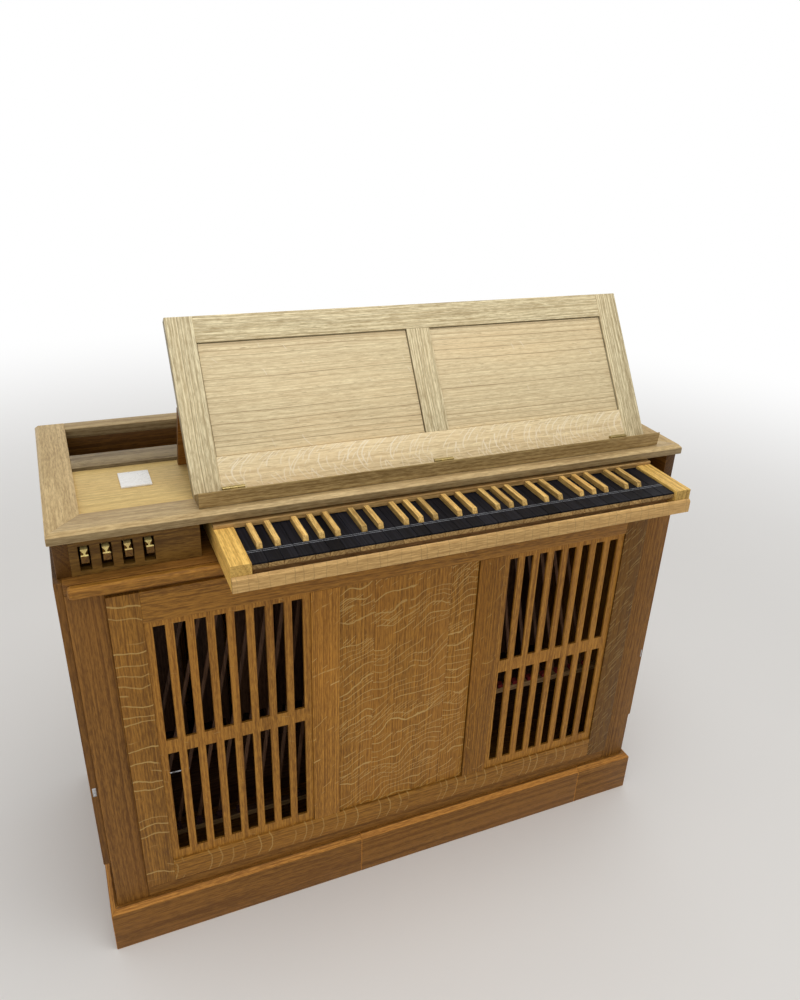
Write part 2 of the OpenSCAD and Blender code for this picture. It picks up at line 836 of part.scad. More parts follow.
module desk_panels() {
    color("khaki") placed() on_desk() along_y(desk_sink, panel_t) desk_fields(groove);
}

// Places children on the lip: as on the desk, but opened further about the hinge pin
module on_lip() {
    on_desk() translate([0, -hinge_off, hinge_off]) rotate([lip_more, 0, 0])
        translate([0, hinge_off, -hinge_off]) children();
}

// The wedge-shaped lip, sloping above and level below
module desk_lip() {
    z = top_face + run_gap;
    rear = lip_foot + (hinge_off - lip_gap) * lip_back;
    front = lip_foot + (hinge_off - lip_d) * lip_back;
    color("goldenrod") placed() along_x(desk_x, desk_w)
        polygon([[rear[0] - lip_heel, z], rear, front, [front[0] + lip_rake, z]]);
}

// A hinge barrel of the lip, from x over a length l
module barrel(x, l, d) {
    translate([x, -hinge_off, hinge_off]) rotate([0, 90, 0]) cylinder(d = d, h = l);
}

// The fixed halves of the lip's three hinges: leaf, two outer knuckles and pin
module lip_hinges() {
    z = hinge_off + barrel_d / 2 + run_gap;
    color("gold") placed() on_desk() for (x = hinge_x) {
        translate([x, -leaf_t, z]) cube([hinge_w, leaf_t, leaf_l + hinge_off - z]);
        for (side = [x, x + hinge_w - knuckle]) {
            barrel(side, knuckle, barrel_d);
            translate([side, -leaf_t, hinge_off]) cube([knuckle, leaf_t, leaf_l]);
        }
        barrel(x, hinge_w, pin_d);
    }
}

// The moving halves, on the lip: leaf and middle knuckle
module lip_leaves() {
    y = hinge_off + barrel_d / 2 + run_gap;
    color("gold") placed() on_lip() for (x = hinge_x) difference() {
        union() {
            translate([x, -hinge_off - leaf_l, 0]) cube([hinge_w, hinge_off + leaf_l - y, leaf_t]);
            translate([x + knuckle + run_gap, -hinge_off - leaf_l, 0]) cube([knuckle, leaf_l, leaf_t]);
            barrel(x + knuckle + run_gap, knuckle, barrel_d);
        }
        barrel(x - over, hinge_w + 2 * over, pin_d + 2 * pin_play);
    }
}

// The prop in its own frame: X along it, Y through it, Z up to its pin at the origin
module on_prop() {
    translate([desk_x, prop_pivot[0], prop_pivot[1]]) rotate([prop_lean, 0, 0]) children();
}

// The board that props the desk, notched round its hinges
module desk_prop() {
    low = prop_l + prop_t;
    color("sienna") placed() difference() {
        on_prop() difference() {
            translate([0, prop_face - prop_t, -low]) cube([desk_w, prop_t, low + prop_top]);
            for (x = hinge_x) translate([x - notch_gap, -prop_t, -notch_d])
                cube([hinge_w + 2 * notch_gap, 2 * prop_t, 2 * notch_d]);
            translate([-over, 0, 0]) rotate([0, 90, 0])
                cylinder(d = prop_pin_d + 2 * pin_play, h = desk_w + 2 * over);
        }
        translate([desk_x - over, panel_y, floor_at - 2 * prop_t])
            cube([desk_w + 2 * over, top_panel_d, 2 * prop_t]);
    }
}

// Three brackets on the back of the desk, each with a pin that the prop swings on
module prop_hinges() {
    h = prop_pin_d + 2 * bracket_wall;
    color("gold") placed() for (x = hinge_x) {
        on_desk() translate([x, desk_t, prop_u - h / 2]) cube([hinge_w, prop_off + bracket_wall, h]);
        on_prop() translate([x - pin_in, 0, 0]) rotate([0, 90, 0])
            cylinder(d = prop_pin_d, h = hinge_w + 2 * pin_in);
    }
}

module windchest() {
    color("tan") placed() translate([side_t, chest_y, chest_z])
        cube([case_w - 2 * side_t, chest_size[1], chest_size[0]]);
}

// A row of square wooden pipes, hollow above the block and open at the mouth
module wooden_pipes() {
    w = pipe_size[0];
    d = pipe_size[1];
    color("sienna") placed() for (i = [0 : pipe_count - 1])
        translate([side_t + pipe_side + i * pipe_pitch, pipes_y, chest_z + chest_size[0]]) {
            h = pipe_tall - i * pipe_step;
            difference() {
                cube([w, d, h]);
                translate([pipe_wall, pipe_wall, mouth[1]])
                    cube([w - 2 * pipe_wall, d - 2 * pipe_wall, h - mouth[1] - stopper]);
                translate([pipe_wall, -over, mouth[1]])
                    cube([w - 2 * pipe_wall, pipe_wall + 2 * over, mouth[0]]);
            }
        }
}

// The bars that guide the trackers: one across the case, and two lower ones that meet at a post
module tracker_rails() {
    mid = case_w / 2;
    post = rail_size[0];
    color("wheat") placed() translate([0, rail_y, 0]) {
        translate([side_t, 0, rail_top_z]) cube([case_w - 2 * side_t, rail_size[0], rail_size[1]]);
        translate([side_t, 0, rail_low_z[0]]) cube([mid - side_t, rail_size[0], rail_size[1]]);
        translate([mid, 0, rail_low_z[1]]) cube([mid - side_t, rail_size[0], rail_size[1]]);
        translate([mid - post / 2, 0, chest_z]) cube([post, rail_size[0], rail_top_z - chest_z + over]);
    }
}

// Left edge of tracker i at a height, between its places on the upper rail and on the right lower one
function tracker_x(i, z) = let(
    span = case_w - tracker_size[0],
    low = tracker_end[0] + i * (span - 2 * tracker_end[0]) / (tracker_count - 1),
    high = tracker_end[1] + i * (span - 2 * tracker_end[1]) / (tracker_count - 1))
    high + (low - high) * (rail_top_z + rail_size[1] - z) / (rail_top_z + rail_size[1] - rail_low_z[1]);

// Height of the lower rail under tracker i
function tracker_foot(i) = rail_low_z[i < tracker_count / 2 ? 0 : 1];

// Thin wooden strips that fan out from the keyboard down to the lower rails
module trackers() {
    w = tracker_size[0];
    top = rail_top_z + rail_size[1];
    color("tan") placed() along_y(rail_y + rail_size[0], tracker_size[1])
        for (i = [0 : tracker_count - 1]) {
            foot = tracker_foot(i);
            low = tracker_x(i, foot);
            high = tracker_x(i, top);
            polygon([[low, foot], [low + w, foot], [high + w, top], [high, top]]);
        }
}

// Red felt pads on the lower rails, one for each tracker
module felts() {
    color("darkred") placed() for (i = [0 : tracker_count - 1]) {
        foot = tracker_foot(i);
        x = max(tracker_x(i, foot), side_t + run_gap);
        if (abs(x + felt_size[0] / 2 - case_w / 2) > rail_size[0] / 2 + felt_size[0] / 2)
            translate([x, rail_y + over, foot + rail_size[1]])
                cube([felt_size[0], rail_size[0] - 2 * over, felt_size[1]]);
    }
}

plinth_front();
plinth_back();
plinth_left();
plinth_right();
floor_board();
front_post_left();
front_post_right();
front_rails();
side_left();
side_right();
side_panel_left();
side_panel_right();
back_frame();
back_panels();
front_frame();
grille_left();
grille_right();
centre_panel();
deck();
ledge();
stop_jamb();
upper_side_left();
upper_side_right();
upper_back();
well_front();
top_frame();
top_panel();
plaque();
runners();
tray_frame();
slip();
cheek_left();
cheek_right();
name_rail();
natural_bodies();
natural_covers();
sharps();
stop_lever_1();
stop_lever_2();
stop_lever_3();
stop_lever_4();
stop_block();
stop_pin();
desk_frame();
desk_panels();
desk_lip();
lip_hinges();
lip_leaves();
desk_prop();
prop_hinges();
windchest();
wooden_pipes();
tracker_rails();
trackers();
felts();
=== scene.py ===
"""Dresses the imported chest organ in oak, brass, black wood and felt, on a pale floor."""

import json
import math
from functools import partial, reduce
from typing import NamedTuple

import bmesh
import bpy
import numpy as np
from bpy.props import FloatProperty, FloatVectorProperty, PointerProperty
from mathutils import Matrix, Vector


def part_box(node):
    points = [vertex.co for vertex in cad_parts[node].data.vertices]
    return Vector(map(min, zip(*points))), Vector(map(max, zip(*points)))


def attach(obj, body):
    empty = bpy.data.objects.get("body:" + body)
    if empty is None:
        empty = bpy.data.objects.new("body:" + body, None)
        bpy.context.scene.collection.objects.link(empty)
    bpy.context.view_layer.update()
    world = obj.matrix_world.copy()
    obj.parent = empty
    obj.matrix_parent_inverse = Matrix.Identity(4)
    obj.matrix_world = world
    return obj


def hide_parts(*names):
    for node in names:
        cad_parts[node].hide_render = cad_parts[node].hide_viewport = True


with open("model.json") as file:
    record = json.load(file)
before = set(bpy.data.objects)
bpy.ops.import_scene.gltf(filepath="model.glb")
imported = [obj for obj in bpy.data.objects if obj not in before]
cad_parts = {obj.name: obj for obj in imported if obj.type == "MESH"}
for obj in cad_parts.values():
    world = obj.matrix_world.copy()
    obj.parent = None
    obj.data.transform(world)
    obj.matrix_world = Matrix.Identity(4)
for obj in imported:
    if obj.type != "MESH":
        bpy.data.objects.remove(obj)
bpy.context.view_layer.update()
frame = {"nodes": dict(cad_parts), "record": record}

bl_info = {
    "name": "Chest Organ",
    "version": (1, 0, 0),
    "blender": (4, 5, 0),
    "location": "View3D > Sidebar > Organ",
    "description": "Builds the visible surfaces of a small oak chest organ round its CAD frame",
    "category": "Object",
}

UPRIGHT = X, Y, Z = np.eye(3)
BODY_OF = {n: b for b, ns in frame["record"]["behaviour"]["bodies"].items() for n in ns}

# Where the heart of the tree lies from the middle of a board: across its width, and under its face, in metres
CUTS = {"quarter": (0.19, 0.02), "rift": (0.09, 0.09), "flat": (0.012, 0.055)}
# Edges inside a frame, which face sideways or down and lie in shadow, and how much darker they are
INNER_EDGES = ((X, 0.45), (-X, 0.45), (-Z, 0.45))
# The front edge of the top, in its own shadow
TOP_FRONT = ((-Y, 0.42),)
# Flanks of the sharps, which the lamp over the organ doesn't reach
SHARP_FLANKS = ((X, 0.40), (-X, 0.28))

# Sizes and places of small things, in metres
FINE_EDGE = 0.0002
SMALL_EDGE = 0.0005
PLAIN_EDGE = 0.0007
LEDGE_EDGE = 0.0055
STEP_LAP = 0.0005
FOOT_STEP = 0.0007
LINE_DEPTH = 0.0004
CATCH_HEIGHT = 0.366
CATCH_HALF = 0.009
CATCH_PROUD = 0.0009
CATCH_SCREW = 0.0055
ROD_RADIUS = 0.0021
ROD_END = -0.395
ROD_PLACE = (0.0, -0.1195, 0.318)
# The lower tracker rail and its felts lie under this height, the upper ones over it
LOW_RAIL = 0.25
# Faces of a lever that look up by less than this are its flanks, which take painted shade;
# the faces that look up further take a painted highlight
LEVER_TOP = 0.3

# The stage, in metres
KEY_LAMP = {"place": (0.2, -0.7, 3.2), "aim": (0, 0, 0.7), "size": 1.8}
FILL_LAMP = {"place": (-1.6, -2.6, 1.6), "aim": (0, 0, 0.5), "size": 2.0}
FLOOR_REACH = 30
FLOOR_DROP = 0.0004
# Distances from the organ between which the floor fades to white
FADE = (1.3, 4.2)


# Sizes and colours that a user would change

def number(name, description, default, **kind):
    """One number that a user would change."""
    return FloatProperty(name=name, description=description, default=default, **kind)


def numbers(name, description, default, **kind):
    """A colour, a place or a pair that a user would change."""
    return FloatVectorProperty(name=name, description=description, default=default, size=len(default), **kind)


length = partial(number, min=0.0, unit="LENGTH")
share = partial(number, min=0.0, max=1.0, subtype="FACTOR")
angle = partial(number, subtype="ANGLE")
brightness = partial(number, min=0.0)
colour = partial(numbers, min=0.0, max=1.0, subtype="COLOR")


class OrganJoinery(bpy.types.PropertyGroup):
    """Sizes of the joinery that the frame's boxes don't give."""

    edge: length("Edge", "Rounding along the edges of boards", 0.0011)
    groove: length("Groove", "Depth of the grooves that hold panels", 0.008)
    gap: length("Gap", "Width of the step round the face of a panel", 0.0012)
    step: length("Step", "Depth of the step round the face of a panel", 0.003)
    desk_stile: length("Desk stile", "Width of the desk's stiles and top rail", 0.044)
    desk_rail: length("Desk rail", "Height of the desk's bottom rail", 0.055)
    back_member: length("Back member", "Width of the members of the back frame", 0.062)
    top_chamfer: length("Top chamfer", "Chamfer round the top", 0.006)
    plinth_chamfer: length("Plinth chamfer", "Chamfer along the plinth", 0.008)
    plinth_joint_a: length("First plinth joint", "Its distance from the left end", 0.137)
    plinth_joint_b: length("Second plinth joint", "Its distance from the left end", 0.650)


class OrganWood(bpy.types.PropertyGroup):
    """Colours of the finishes."""

    # Front and case: the oak's own colour, darkened further with painted shade for faces that look away from
    # the lamp above
    front: colour("Front oak", "Oak of the front frame", (0.320, 0.148, 0.022))
    case: colour("Case oak", "Oak of the posts, sides and plinth", (0.188, 0.085, 0.0155))
    # Top, sunk, desk and desk frame: the oak's own colour, made paler with painted light and reflection for
    # faces that look up
    top: colour("Top oak", "Oak of the top", (0.50, 0.375, 0.190))
    sunk: colour("Sunk oak", "Oak of the panel sunk in the top", (0.65, 0.485, 0.20))
    desk: colour("Desk oak", "Oak of the music desk", (0.75, 0.61, 0.385))
    desk_frame: colour("Desk frame oak", "Oak of the desk's stiles and top rail", (0.655, 0.58, 0.375))
    slip: colour("Slip oak", "Pale oak of the slip in front of the keys", (0.52, 0.335, 0.130))
    cheek: colour("Cheek oak", "Yellow oak of the key cheeks", (0.70, 0.46, 0.125))
    dark: colour("Dark wood", "Dark stained wood of the pipes", (0.10, 0.050, 0.026))
    inner: colour("Inner wood", "Plain wood inside the case", (0.40, 0.25, 0.11))
    ebony: colour("Black wood", "Black wood of the natural keys", (0.006, 0.006, 0.008))
    line: colour("Scribed line", "Chalk in the lines across the keys", (0.36, 0.37, 0.39))
    felt: colour("Felt", "Red felt of the action", (0.15, 0.005, 0.004))
    brass: colour("Brass", "Dull brass of the hinges", (0.42, 0.32, 0.13))
    steel: colour("Steel", "Plain steel of pins and catches", (0.55, 0.55, 0.56))
    plate: colour("Plate", "Bare white plate on the top", (0.82, 0.80, 0.76))


class OrganStage(bpy.types.PropertyGroup):
    """Camera, floor and lights."""

    lens: number("Lens", "Focal length", 30.12, unit="CAMERA")
    turn: angle("Turn", "Heading of the camera", math.radians(-25.208))
    pitch: angle("Pitch", "Tilt of the camera, up or down", math.radians(-27.181))
    roll: angle("Roll", "Lean of the camera", math.radians(-2.982))
    place: numbers("Place", "Where the camera stands", (-0.516, -1.3086, 1.4251), subtype="TRANSLATION")
    shift: numbers("Shift", "Lens shift, across and up", (-0.0226, 0.0193))
    floor: colour("Floor", "Pale floor", (0.86, 0.84, 0.81))
    sky: brightness("Sky", "Strength of the light all round", 0.60)
    key: brightness("Key", "Strength of the lamp over the organ", 27.0)
    fill: brightness("Fill", "Strength of the lamp in front", 11.0)


def joinery():
    return bpy.context.scene.organ_joinery


def wood():
    return bpy.context.scene.organ_wood


# Shapes, as arrays

def ease_corners(outline, radius):
    """A closed outline with every corner C replaced by the curve (1-t)^2 A + 2t(1-t) C + t^2 B, where A and
    B lie one radius from C along its two sides, or 0.45 of the shorter side if that is less."""
    c = np.asarray(outline, float)
    back, ahead = np.roll(c, 1, 0) - c, np.roll(c, -1, 0) - c
    lb = np.linalg.norm(back, axis=1, keepdims=True)
    la = np.linalg.norm(ahead, axis=1, keepdims=True)
    r = np.minimum(radius, 0.45 * np.minimum(la, lb))
    a, b = (c + back / lb * r)[:, None], (c + ahead / la * r)[:, None]
    t = np.linspace(0, 1, 3)[None, :, None]
    return ((1 - t) ** 2 * a + 2 * t * (1 - t) * c[:, None] + t * t * b).reshape(-1, 2)


def inward(outline):
    """For each corner of an anticlockwise outline, the step that moves both its sides in by one: the sum of
    their normals over 1 plus their product, which is held to at least 0.3 at very sharp corners."""
    ahead = np.roll(outline, -1, 0) - outline
    ahead /= np.linalg.norm(ahead, axis=1, keepdims=True)
    n1 = np.stack([-ahead[:, 1], ahead[:, 0]], 1)
    n0 = np.roll(n1, 1, 0)
    return (n0 + n1) / np.maximum(1 + (n0 * n1).sum(1, keepdims=True), 0.3)


def tube_faces(points):
    """Vertices and faces of a closed tube from rings (stations, points round, 3), capped at both ends."""
    m, k = points.shape[:2]
    i, j = np.meshgrid(np.arange(m - 1), np.arange(k), indexing="ij")
    jn = (j + 1) % k
    quads = np.stack([i * k + j, i * k + jn, (i + 1) * k + jn, (i + 1) * k + j], -1).reshape(-1, 4)
    caps = [list(range(k))[::-1], list(range((m - 1) * k, m * k))]
    return points.reshape(-1, 3), quads.tolist() + caps


def carried(outline, start, end, axes=(Y, Z, X), edge=None, slant=(0.0, 0.0)):
    """A profile P(t) carried along s: P(t) + inset(s) N(t) + s S, with its corners eased and both ends
    rounded, where inset falls from 0.8 of the edge radius to 0 along a quarter circle. slant leans the
    start and the end by the profile's first coordinate, for mitres. axes are the directions of the
    profile's two coordinates and of s."""
    r = joinery().edge if edge is None else edge
    p = ease_corners(outline, r)
    stations = 3
    quarter = np.linspace(0, math.pi / 2, stations)
    inset = np.concatenate([1 - np.sin(quarter), (1 - np.sin(quarter))[::-1]]) * r * 0.8
    along = np.concatenate([start + r * (1 - np.cos(quarter)), (end - r * (1 - np.cos(quarter)))[::-1]])
    lean = np.repeat(slant, stations)
    ring = p[None] + inset[:, None, None] * inward(p)[None]
    s = along[:, None] + lean[:, None] * ring[:, :, 0]
    points = ring[:, :, 0, None] * axes[0] + ring[:, :, 1, None] * axes[1] + s[:, :, None] * axes[2]
    return tube_faces(points)


def plank(low, high, edge=None, axis=None):
    """A straight board between two corners: a rectangle carried along its longest side."""
    low, high = np.asarray(low, float), np.asarray(high, float)
    a = int(np.argmax(high - low)) if axis is None else axis
    p, q = (a + 1) % 3, (a + 2) % 3
    outline = [(low[p], low[q]), (high[p], low[q]), (high[p], high[q]), (low[p], high[q])]
    return carried(outline, low[a], high[a], UPRIGHT[[p, q, a]], edge)


def disc(centre, normal, radius, dome):
    """A low domed disc: at a share r of its radius its height is dome (1 - r^2). A short wall closes it."""
    side = np.cross(normal, X)
    up = np.cross(normal, side)
    a = np.linspace(0, 2 * math.pi, 20, endpoint=False)
    rim = np.cos(a)[:, None] * side + np.sin(a)[:, None] * up
    r = np.linspace(1, 0.08, 4)
    height = dome * (1 - r ** 2)
    tops = np.asarray(centre) + radius * r[:, None, None] * rim[None] + height[:, None, None] * normal
    foot = np.asarray(centre) + radius * rim - normal * dome
    return tube_faces(np.concatenate([foot[None], tops]))


def corners(node):
    """The lowest and highest corner of a CAD node as arrays."""
    low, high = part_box(node)
    return np.array(low), np.array(high)


# Pieces

def read(items, key, width=1, kind=float):
    """One value, or one row of values, for each item of a mesh."""
    values = np.empty(len(items) * width, kind)
    items.foreach_get(key, values)
    return values.reshape(-1, width) if width > 1 else values


def store(mesh, name, kind, domain, values):
    """Keeps one number or vector for each item of a mesh under a name."""
    key = "vector" if kind == "FLOAT_VECTOR" else "value"
    mesh.attributes.new(name, kind, domain).data.foreach_set(key, values.astype(np.float32).ravel())


def by_face(piece, key, limit):
    """Gives the second finish to the faces whose centre or normal, as key says, has a Z under a limit."""
    z = read(piece.data.polygons, key, 3)[:, 2]
    piece.data.polygons.foreach_set("material_index", (z < limit).astype(np.int32))


def islands(mesh):
    """For each vertex the number of its solid, by passing the lowest label along edges."""
    a, b = read(mesh.edges, "vertices", 2, np.int64).T
    label = np.arange(len(mesh.vertices))
    while True:
        low, new = np.minimum(label[a], label[b]), label.copy()
        np.minimum.at(new, a, low)
        np.minimum.at(new, b, low)
        new = new[new]
        if (new == label).all():
            return np.unique(label, return_inverse=True)[1]
        label = new


def lay_grain(mesh, seed, cut="rift", basis=UPRIGHT, along=None, spread=0.06, arris=0.1, ends=0.35, dim=()):
    """Gives each board wood coordinates of its own, measured along its grain, across it and through it from
    the heart of the tree, and a tone of its own: darker by ends on end grain, lighter by a painted highlight
    of the given amount where an edge is eased, and darker by painted shade on the faces in dim, which lists
    directions and amounts. The grain runs along a board's longest side, or along the given axis, of the
    frame or of basis."""
    rng = np.random.default_rng(seed)
    co = read(mesh.vertices, "co", 3) @ basis
    board = islands(mesh)
    count = board.max() + 1
    low, high = np.full((count, 3), np.inf), np.full((count, 3), -np.inf)
    np.minimum.at(low, board, co)
    np.maximum.at(high, board, co)
    size = high - low
    if along is not None:
        size[:, along] = np.inf
    order = np.argsort(-size, axis=1)
    side, under = CUTS[cut]
    flip = rng.choice([-1.0, 1.0], (count, 2))[:, 0]
    heart = np.stack([
        rng.uniform(0.5, 6.0, count),
        side * flip * rng.uniform(0.8, 1.2, count),
        under * rng.uniform(0.8, 1.2, count),
    ], 1)
    middle = (low + high) / 2
    local = np.take_along_axis(co - middle[board], order[board], 1) + heart[board]
    across = (local - heart[board])[:, 1]
    corner = read(mesh.loops, "vertex_index", 1, np.int64)
    store(mesh, "grain", "FLOAT_VECTOR", "CORNER", local[corner])
    store(mesh, "across", "FLOAT", "CORNER", across[corner])
    on = board[corner[read(mesh.polygons, "loop_start", 1, np.int64)]]
    normal = read(mesh.polygons, "normal", 3) @ basis
    facing = np.abs(np.take_along_axis(normal, order[on][:, :1], 1))[:, 0]
    end_grain = np.clip(facing * 4 - 3, 0, 1)
    eased = np.abs(normal).max(1) < 0.95
    tone = 1 + rng.normal(0, spread, count)[on] - ends * end_grain
    # A painted highlight on every eased edge
    tone += arris * eased
    # Painted shade on the faces that dim lists
    for direction, amount in dim:
        tone -= amount * (normal @ direction > 0.9)
    store(mesh, "tone", "FLOAT", "FACE", tone)


def put(name, boards, node, material, picks=None, origin=(0, 0, 0), basis=UPRIGHT, **rest):
    """Puts boards into the scene as one piece, which rides on its CAD node's body and stands for it. They are
    turned by basis and moved to origin first. picks gives the number of each board's finish."""
    vertices, faces, start = [], [], 0
    for v, f in boards:
        vertices.append(v)
        faces += [[i + start for i in face] for face in f]
        start += len(v)
    points = np.concatenate(vertices) @ basis.T + origin
    mesh = bpy.data.meshes.new(name)
    mesh.from_pydata(points.tolist(), [], faces)
    piece = settle(name, mesh, node, material, basis=basis, **rest)
    if picks:
        finish = np.repeat(np.array(picks, np.int32), [len(f) for _, f in boards])
        piece.data.polygons.foreach_set("material_index", finish)


def boarded(node, material, **rest):
    """A CAD node made again as one plain board."""
    put(node + "_board", [plank(*corners(node))], node, material, **rest)


def settle(name, mesh, node, material, body=None, slot=None, smooth=40, **grain):
    """Finishes a mesh: grain, smooth faces with edges sharp over an angle, finish and body. The slot is not
    used.
    """
    mesh.validate()
    lay_grain(mesh, **grain)
    mesh.polygons.foreach_set("use_smooth", np.ones(len(mesh.polygons), bool))
    mesh.set_sharp_from_angle(angle=math.radians(smooth))
    mesh.materials.clear()
    for m in material if isinstance(material, list) else [material]:
        mesh.materials.append(m)
    piece = bpy.data.objects.new(name, mesh)
    bpy.context.scene.collection.objects.link(piece)
    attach(piece, body or BODY_OF[node])
    if node:
        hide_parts(node)
    return piece


def merged(node):
    """A copy of a CAD node's mesh with its doubles merged and its flat faces joined."""
    mesh = frame["nodes"][node].data.copy()
    bm = bmesh.new()
    bm.from_mesh(mesh)
    bmesh.ops.remove_doubles(bm, verts=bm.verts, dist=1e-6)
    bmesh.ops.dissolve_limit(bm, angle_limit=math.radians(0.5), verts=bm.verts, edges=bm.edges)
    bm.to_mesh(mesh)
    bm.free()
    spare = [a for a in mesh.attributes if not a.is_required and a.name != "position" and a.name[0] != "."]
    for a in spare:
        mesh.attributes.remove(a)
    return mesh


def worked(name, node, material, edge=None, mesh=None, **rest):
    """A CAD node with its own shape, its edges eased by a Bevel modifier."""
    piece = settle(name, mesh or merged(node), node, material, **rest)
    ease = piece.modifiers.new("eased", "BEVEL")
    ease.width = joinery().edge if edge is None else edge
    ease.segments = 2
    ease.limit_method = "ANGLE"
    ease.angle_limit = math.radians(35)
    ease.harden_normals = True
    return piece


# Shader maths

def operator(operation, flipped=False):
    """A Python operator on values that adds one Math node."""
    def apply(self, *others):
        terms = (*others, self) if flipped else (self, *others)
        return self.finish.math(operation, *terms)
    return apply


class Value:
    """A number socket in shader maths: the usual operators add Math nodes."""

    def __init__(self, finish, socket):
        self.finish, self.socket = finish, socket

    __add__ = __radd__ = operator("ADD")
    __sub__, __rsub__ = operator("SUBTRACT"), operator("SUBTRACT", flipped=True)
    __mul__ = __rmul__ = operator("MULTIPLY")
    __pow__ = operator("POWER")
    __abs__ = operator("ABSOLUTE")


class Finish:
    """A material or a world under construction, with one method for every kind of node."""

    def __init__(self, name, kind="materials"):
        self.block = getattr(bpy.data, kind).new(name)
        self.block.use_nodes = True
        self.nodes, self.links = self.block.node_tree.nodes, self.block.node_tree.links
        self.shader = self.nodes["Background" if kind == "worlds" else "Principled BSDF"]

    def node(self, kind, settings=None, sockets=None):
        """Adds a node, sets its settings first and then the values or links of its sockets."""
        made = self.nodes.new("ShaderNode" + kind)
        for key, value in (settings or {}).items():
            setattr(made, key, value)
        return self.fill(made, sockets or {})

    def fill(self, node, sockets):
        """Gives a node's sockets their values or links."""
        for key, value in sockets.items():
            value = value.socket if isinstance(value, Value) else value
            if isinstance(value, bpy.types.NodeSocket):
                self.links.new(value, node.inputs[key])
            else:
                node.inputs[key].default_value = value
        return node

    def done(self, sockets):
        """Fills in the shader and hands over the material or world."""
        self.fill(self.shader, sockets)
        return self.block

    def value(self, kind, settings=None, sockets=None):
        """The first output of a new node, as a number."""
        return Value(self, self.node(kind, settings, sockets).outputs[0])

    def math(self, operation, *values):
        """One Math node on values and numbers."""
        return self.value("Math", {"operation": operation}, dict(enumerate(values)))

    def attribute(self, name, output):
        """An attribute of the mesh."""
        return self.node("Attribute", {"attribute_name": name}).outputs[output]

    def noise(self, vector, detail=2.0, rough=0.5):
        """Noise in space, with one cell to a unit."""
        sockets = {"Vector": vector, "Scale": 1.0, "Detail": detail, "Roughness": rough}
        return self.value("TexNoise", None, sockets)

    def drawn(self, along, across, detail=3.0, rough=0.6, vector=None):
        """Noise drawn out along the grain: so many cells in a metre along it and across it."""
        sockets = {"Vector": vector or self.grain, "Scale": (along, across, across)}
        mapped = self.node("Mapping", None, sockets)
        return self.noise(mapped.outputs[0], detail, rough)

    def noise_along(self, value, detail=2.0, rough=0.5):
        """Noise along one number."""
        sockets = {"W": value, "Scale": 1.0, "Detail": detail, "Roughness": rough}
        return self.value("TexNoise", {"noise_dimensions": "1D"}, sockets)

    def chance(self, value):
        """A random number for each whole value."""
        return self.value("TexWhiteNoise", {"noise_dimensions": "1D"}, {"W": value})

    def step(self, value, low, high):
        """Rises smoothly from 0 at low to 1 at high."""
        sockets = {"Value": value, "From Min": low, "From Max": high}
        return self.value("MapRange", {"interpolation_type": "SMOOTHSTEP"}, sockets)

    def mix(self, factor, a, b):
        """Mixes two colours; a colour is three numbers or a socket."""
        a, b = (c if isinstance(c, bpy.types.NodeSocket) else (*c, 1) for c in (a, b))
        return self.node("Mix", {"data_type": "RGBA"}, {0: factor, 6: a, 7: b}).outputs[2]

    def scaled(self, colour_socket, value):
        """A colour made lighter or darker by a value."""
        sockets = {"Vector": colour_socket, "Scale": value}
        return self.node("VectorMath", {"operation": "SCALE"}, sockets).outputs[0]

    def in_view(self):
        """1 where the camera sees it, straight on, in a reflection or through glass, and 0 for light."""
        rays = self.node("LightPath").outputs
        kinds = ("Is Camera Ray", "Is Glossy Ray", "Is Transmission Ray")
        return reduce(partial(self.math, "MAXIMUM"), (Value(self, rays[kind]) for kind in kinds))

    def bump(self, height, strength, distance=0.0006):
        """Normals for a height, with its depth in metres."""
        sockets = {"Height": height, "Strength": strength, "Distance": distance}
        return self.node("Bump", None, sockets).outputs[0]


FINISHES = {}


def kept(make):
    """Keeps the finish whose sockets a function works out, by name, so that pieces share it."""
    def get(name, *args, **kwargs):
        if name not in FINISHES:
            f = Finish(name)
            f.grain = f.attribute("grain", "Vector")
            FINISHES[name] = f.done(make(f, *args, **kwargs))
        return FINISHES[name]
    return get


def tinted(base, *k):
    """A colour with each of its three numbers scaled by itself, kept within range."""
    return tuple(min(1.0, c * m) for c, m in zip(base, k))


def shade(base, k):
    """A colour k times as light."""
    return tinted(base, k, k, k)


class Rays(NamedTuple):
    """A set of rays in oak: how many cross a metre of board, how far they lean and bend, half their
    thickness in metres, how much of each shows, how much of the board has none, and how far they bow."""

    per_metre: float
    lean: float
    bend: float
    half: float
    cover: float
    gap: float
    bow: float = 0.0


def ray_lines(f, u, v, middle, rays, place):
    """Thin rays across the grain: contour lines of a field that rises along the board, leans and bows
    across it and is bent by slow noise; they are left out along part of the board, and broken across it. u
    and v run along and across the board from the heart, middle across it from its middle, and place gives
    each set its own noise."""
    def at(a, b):
        return f.node("CombineXYZ", None, {"X": a, "Y": b, "Z": place}).outputs[0]

    slow = f.noise(at(u * 9.0, v * 13.0), 1.0) - 0.5
    wiggle = f.noise(at(u * 70.0, v * 70.0), 2.0) - 0.5
    bent = u + v * rays.lean - middle * middle * rays.bow + slow * rays.bend + wiggle * 0.005
    p = bent * rays.per_metre + place
    cell = f.math("FLOOR", p)
    pick, other = f.chance(cell), f.chance(cell + 91.7)
    off = abs(p - cell - 0.5 - (pick - 0.5) * 0.5)
    half = rays.half * rays.per_metre
    line = 1.0 - f.step(off, half * 0.6, half * 1.5)
    piece = f.step(f.noise(at(v * 42.0, cell * 3.7), 1.0), 0.60 - rays.cover * 0.2, 0.66 - rays.cover * 0.2)
    there = f.step(f.noise_along(u * 15.0 + place, 1.0), rays.gap, rays.gap + 0.05)
    return line * piece * there * (0.5 + other * 0.5)


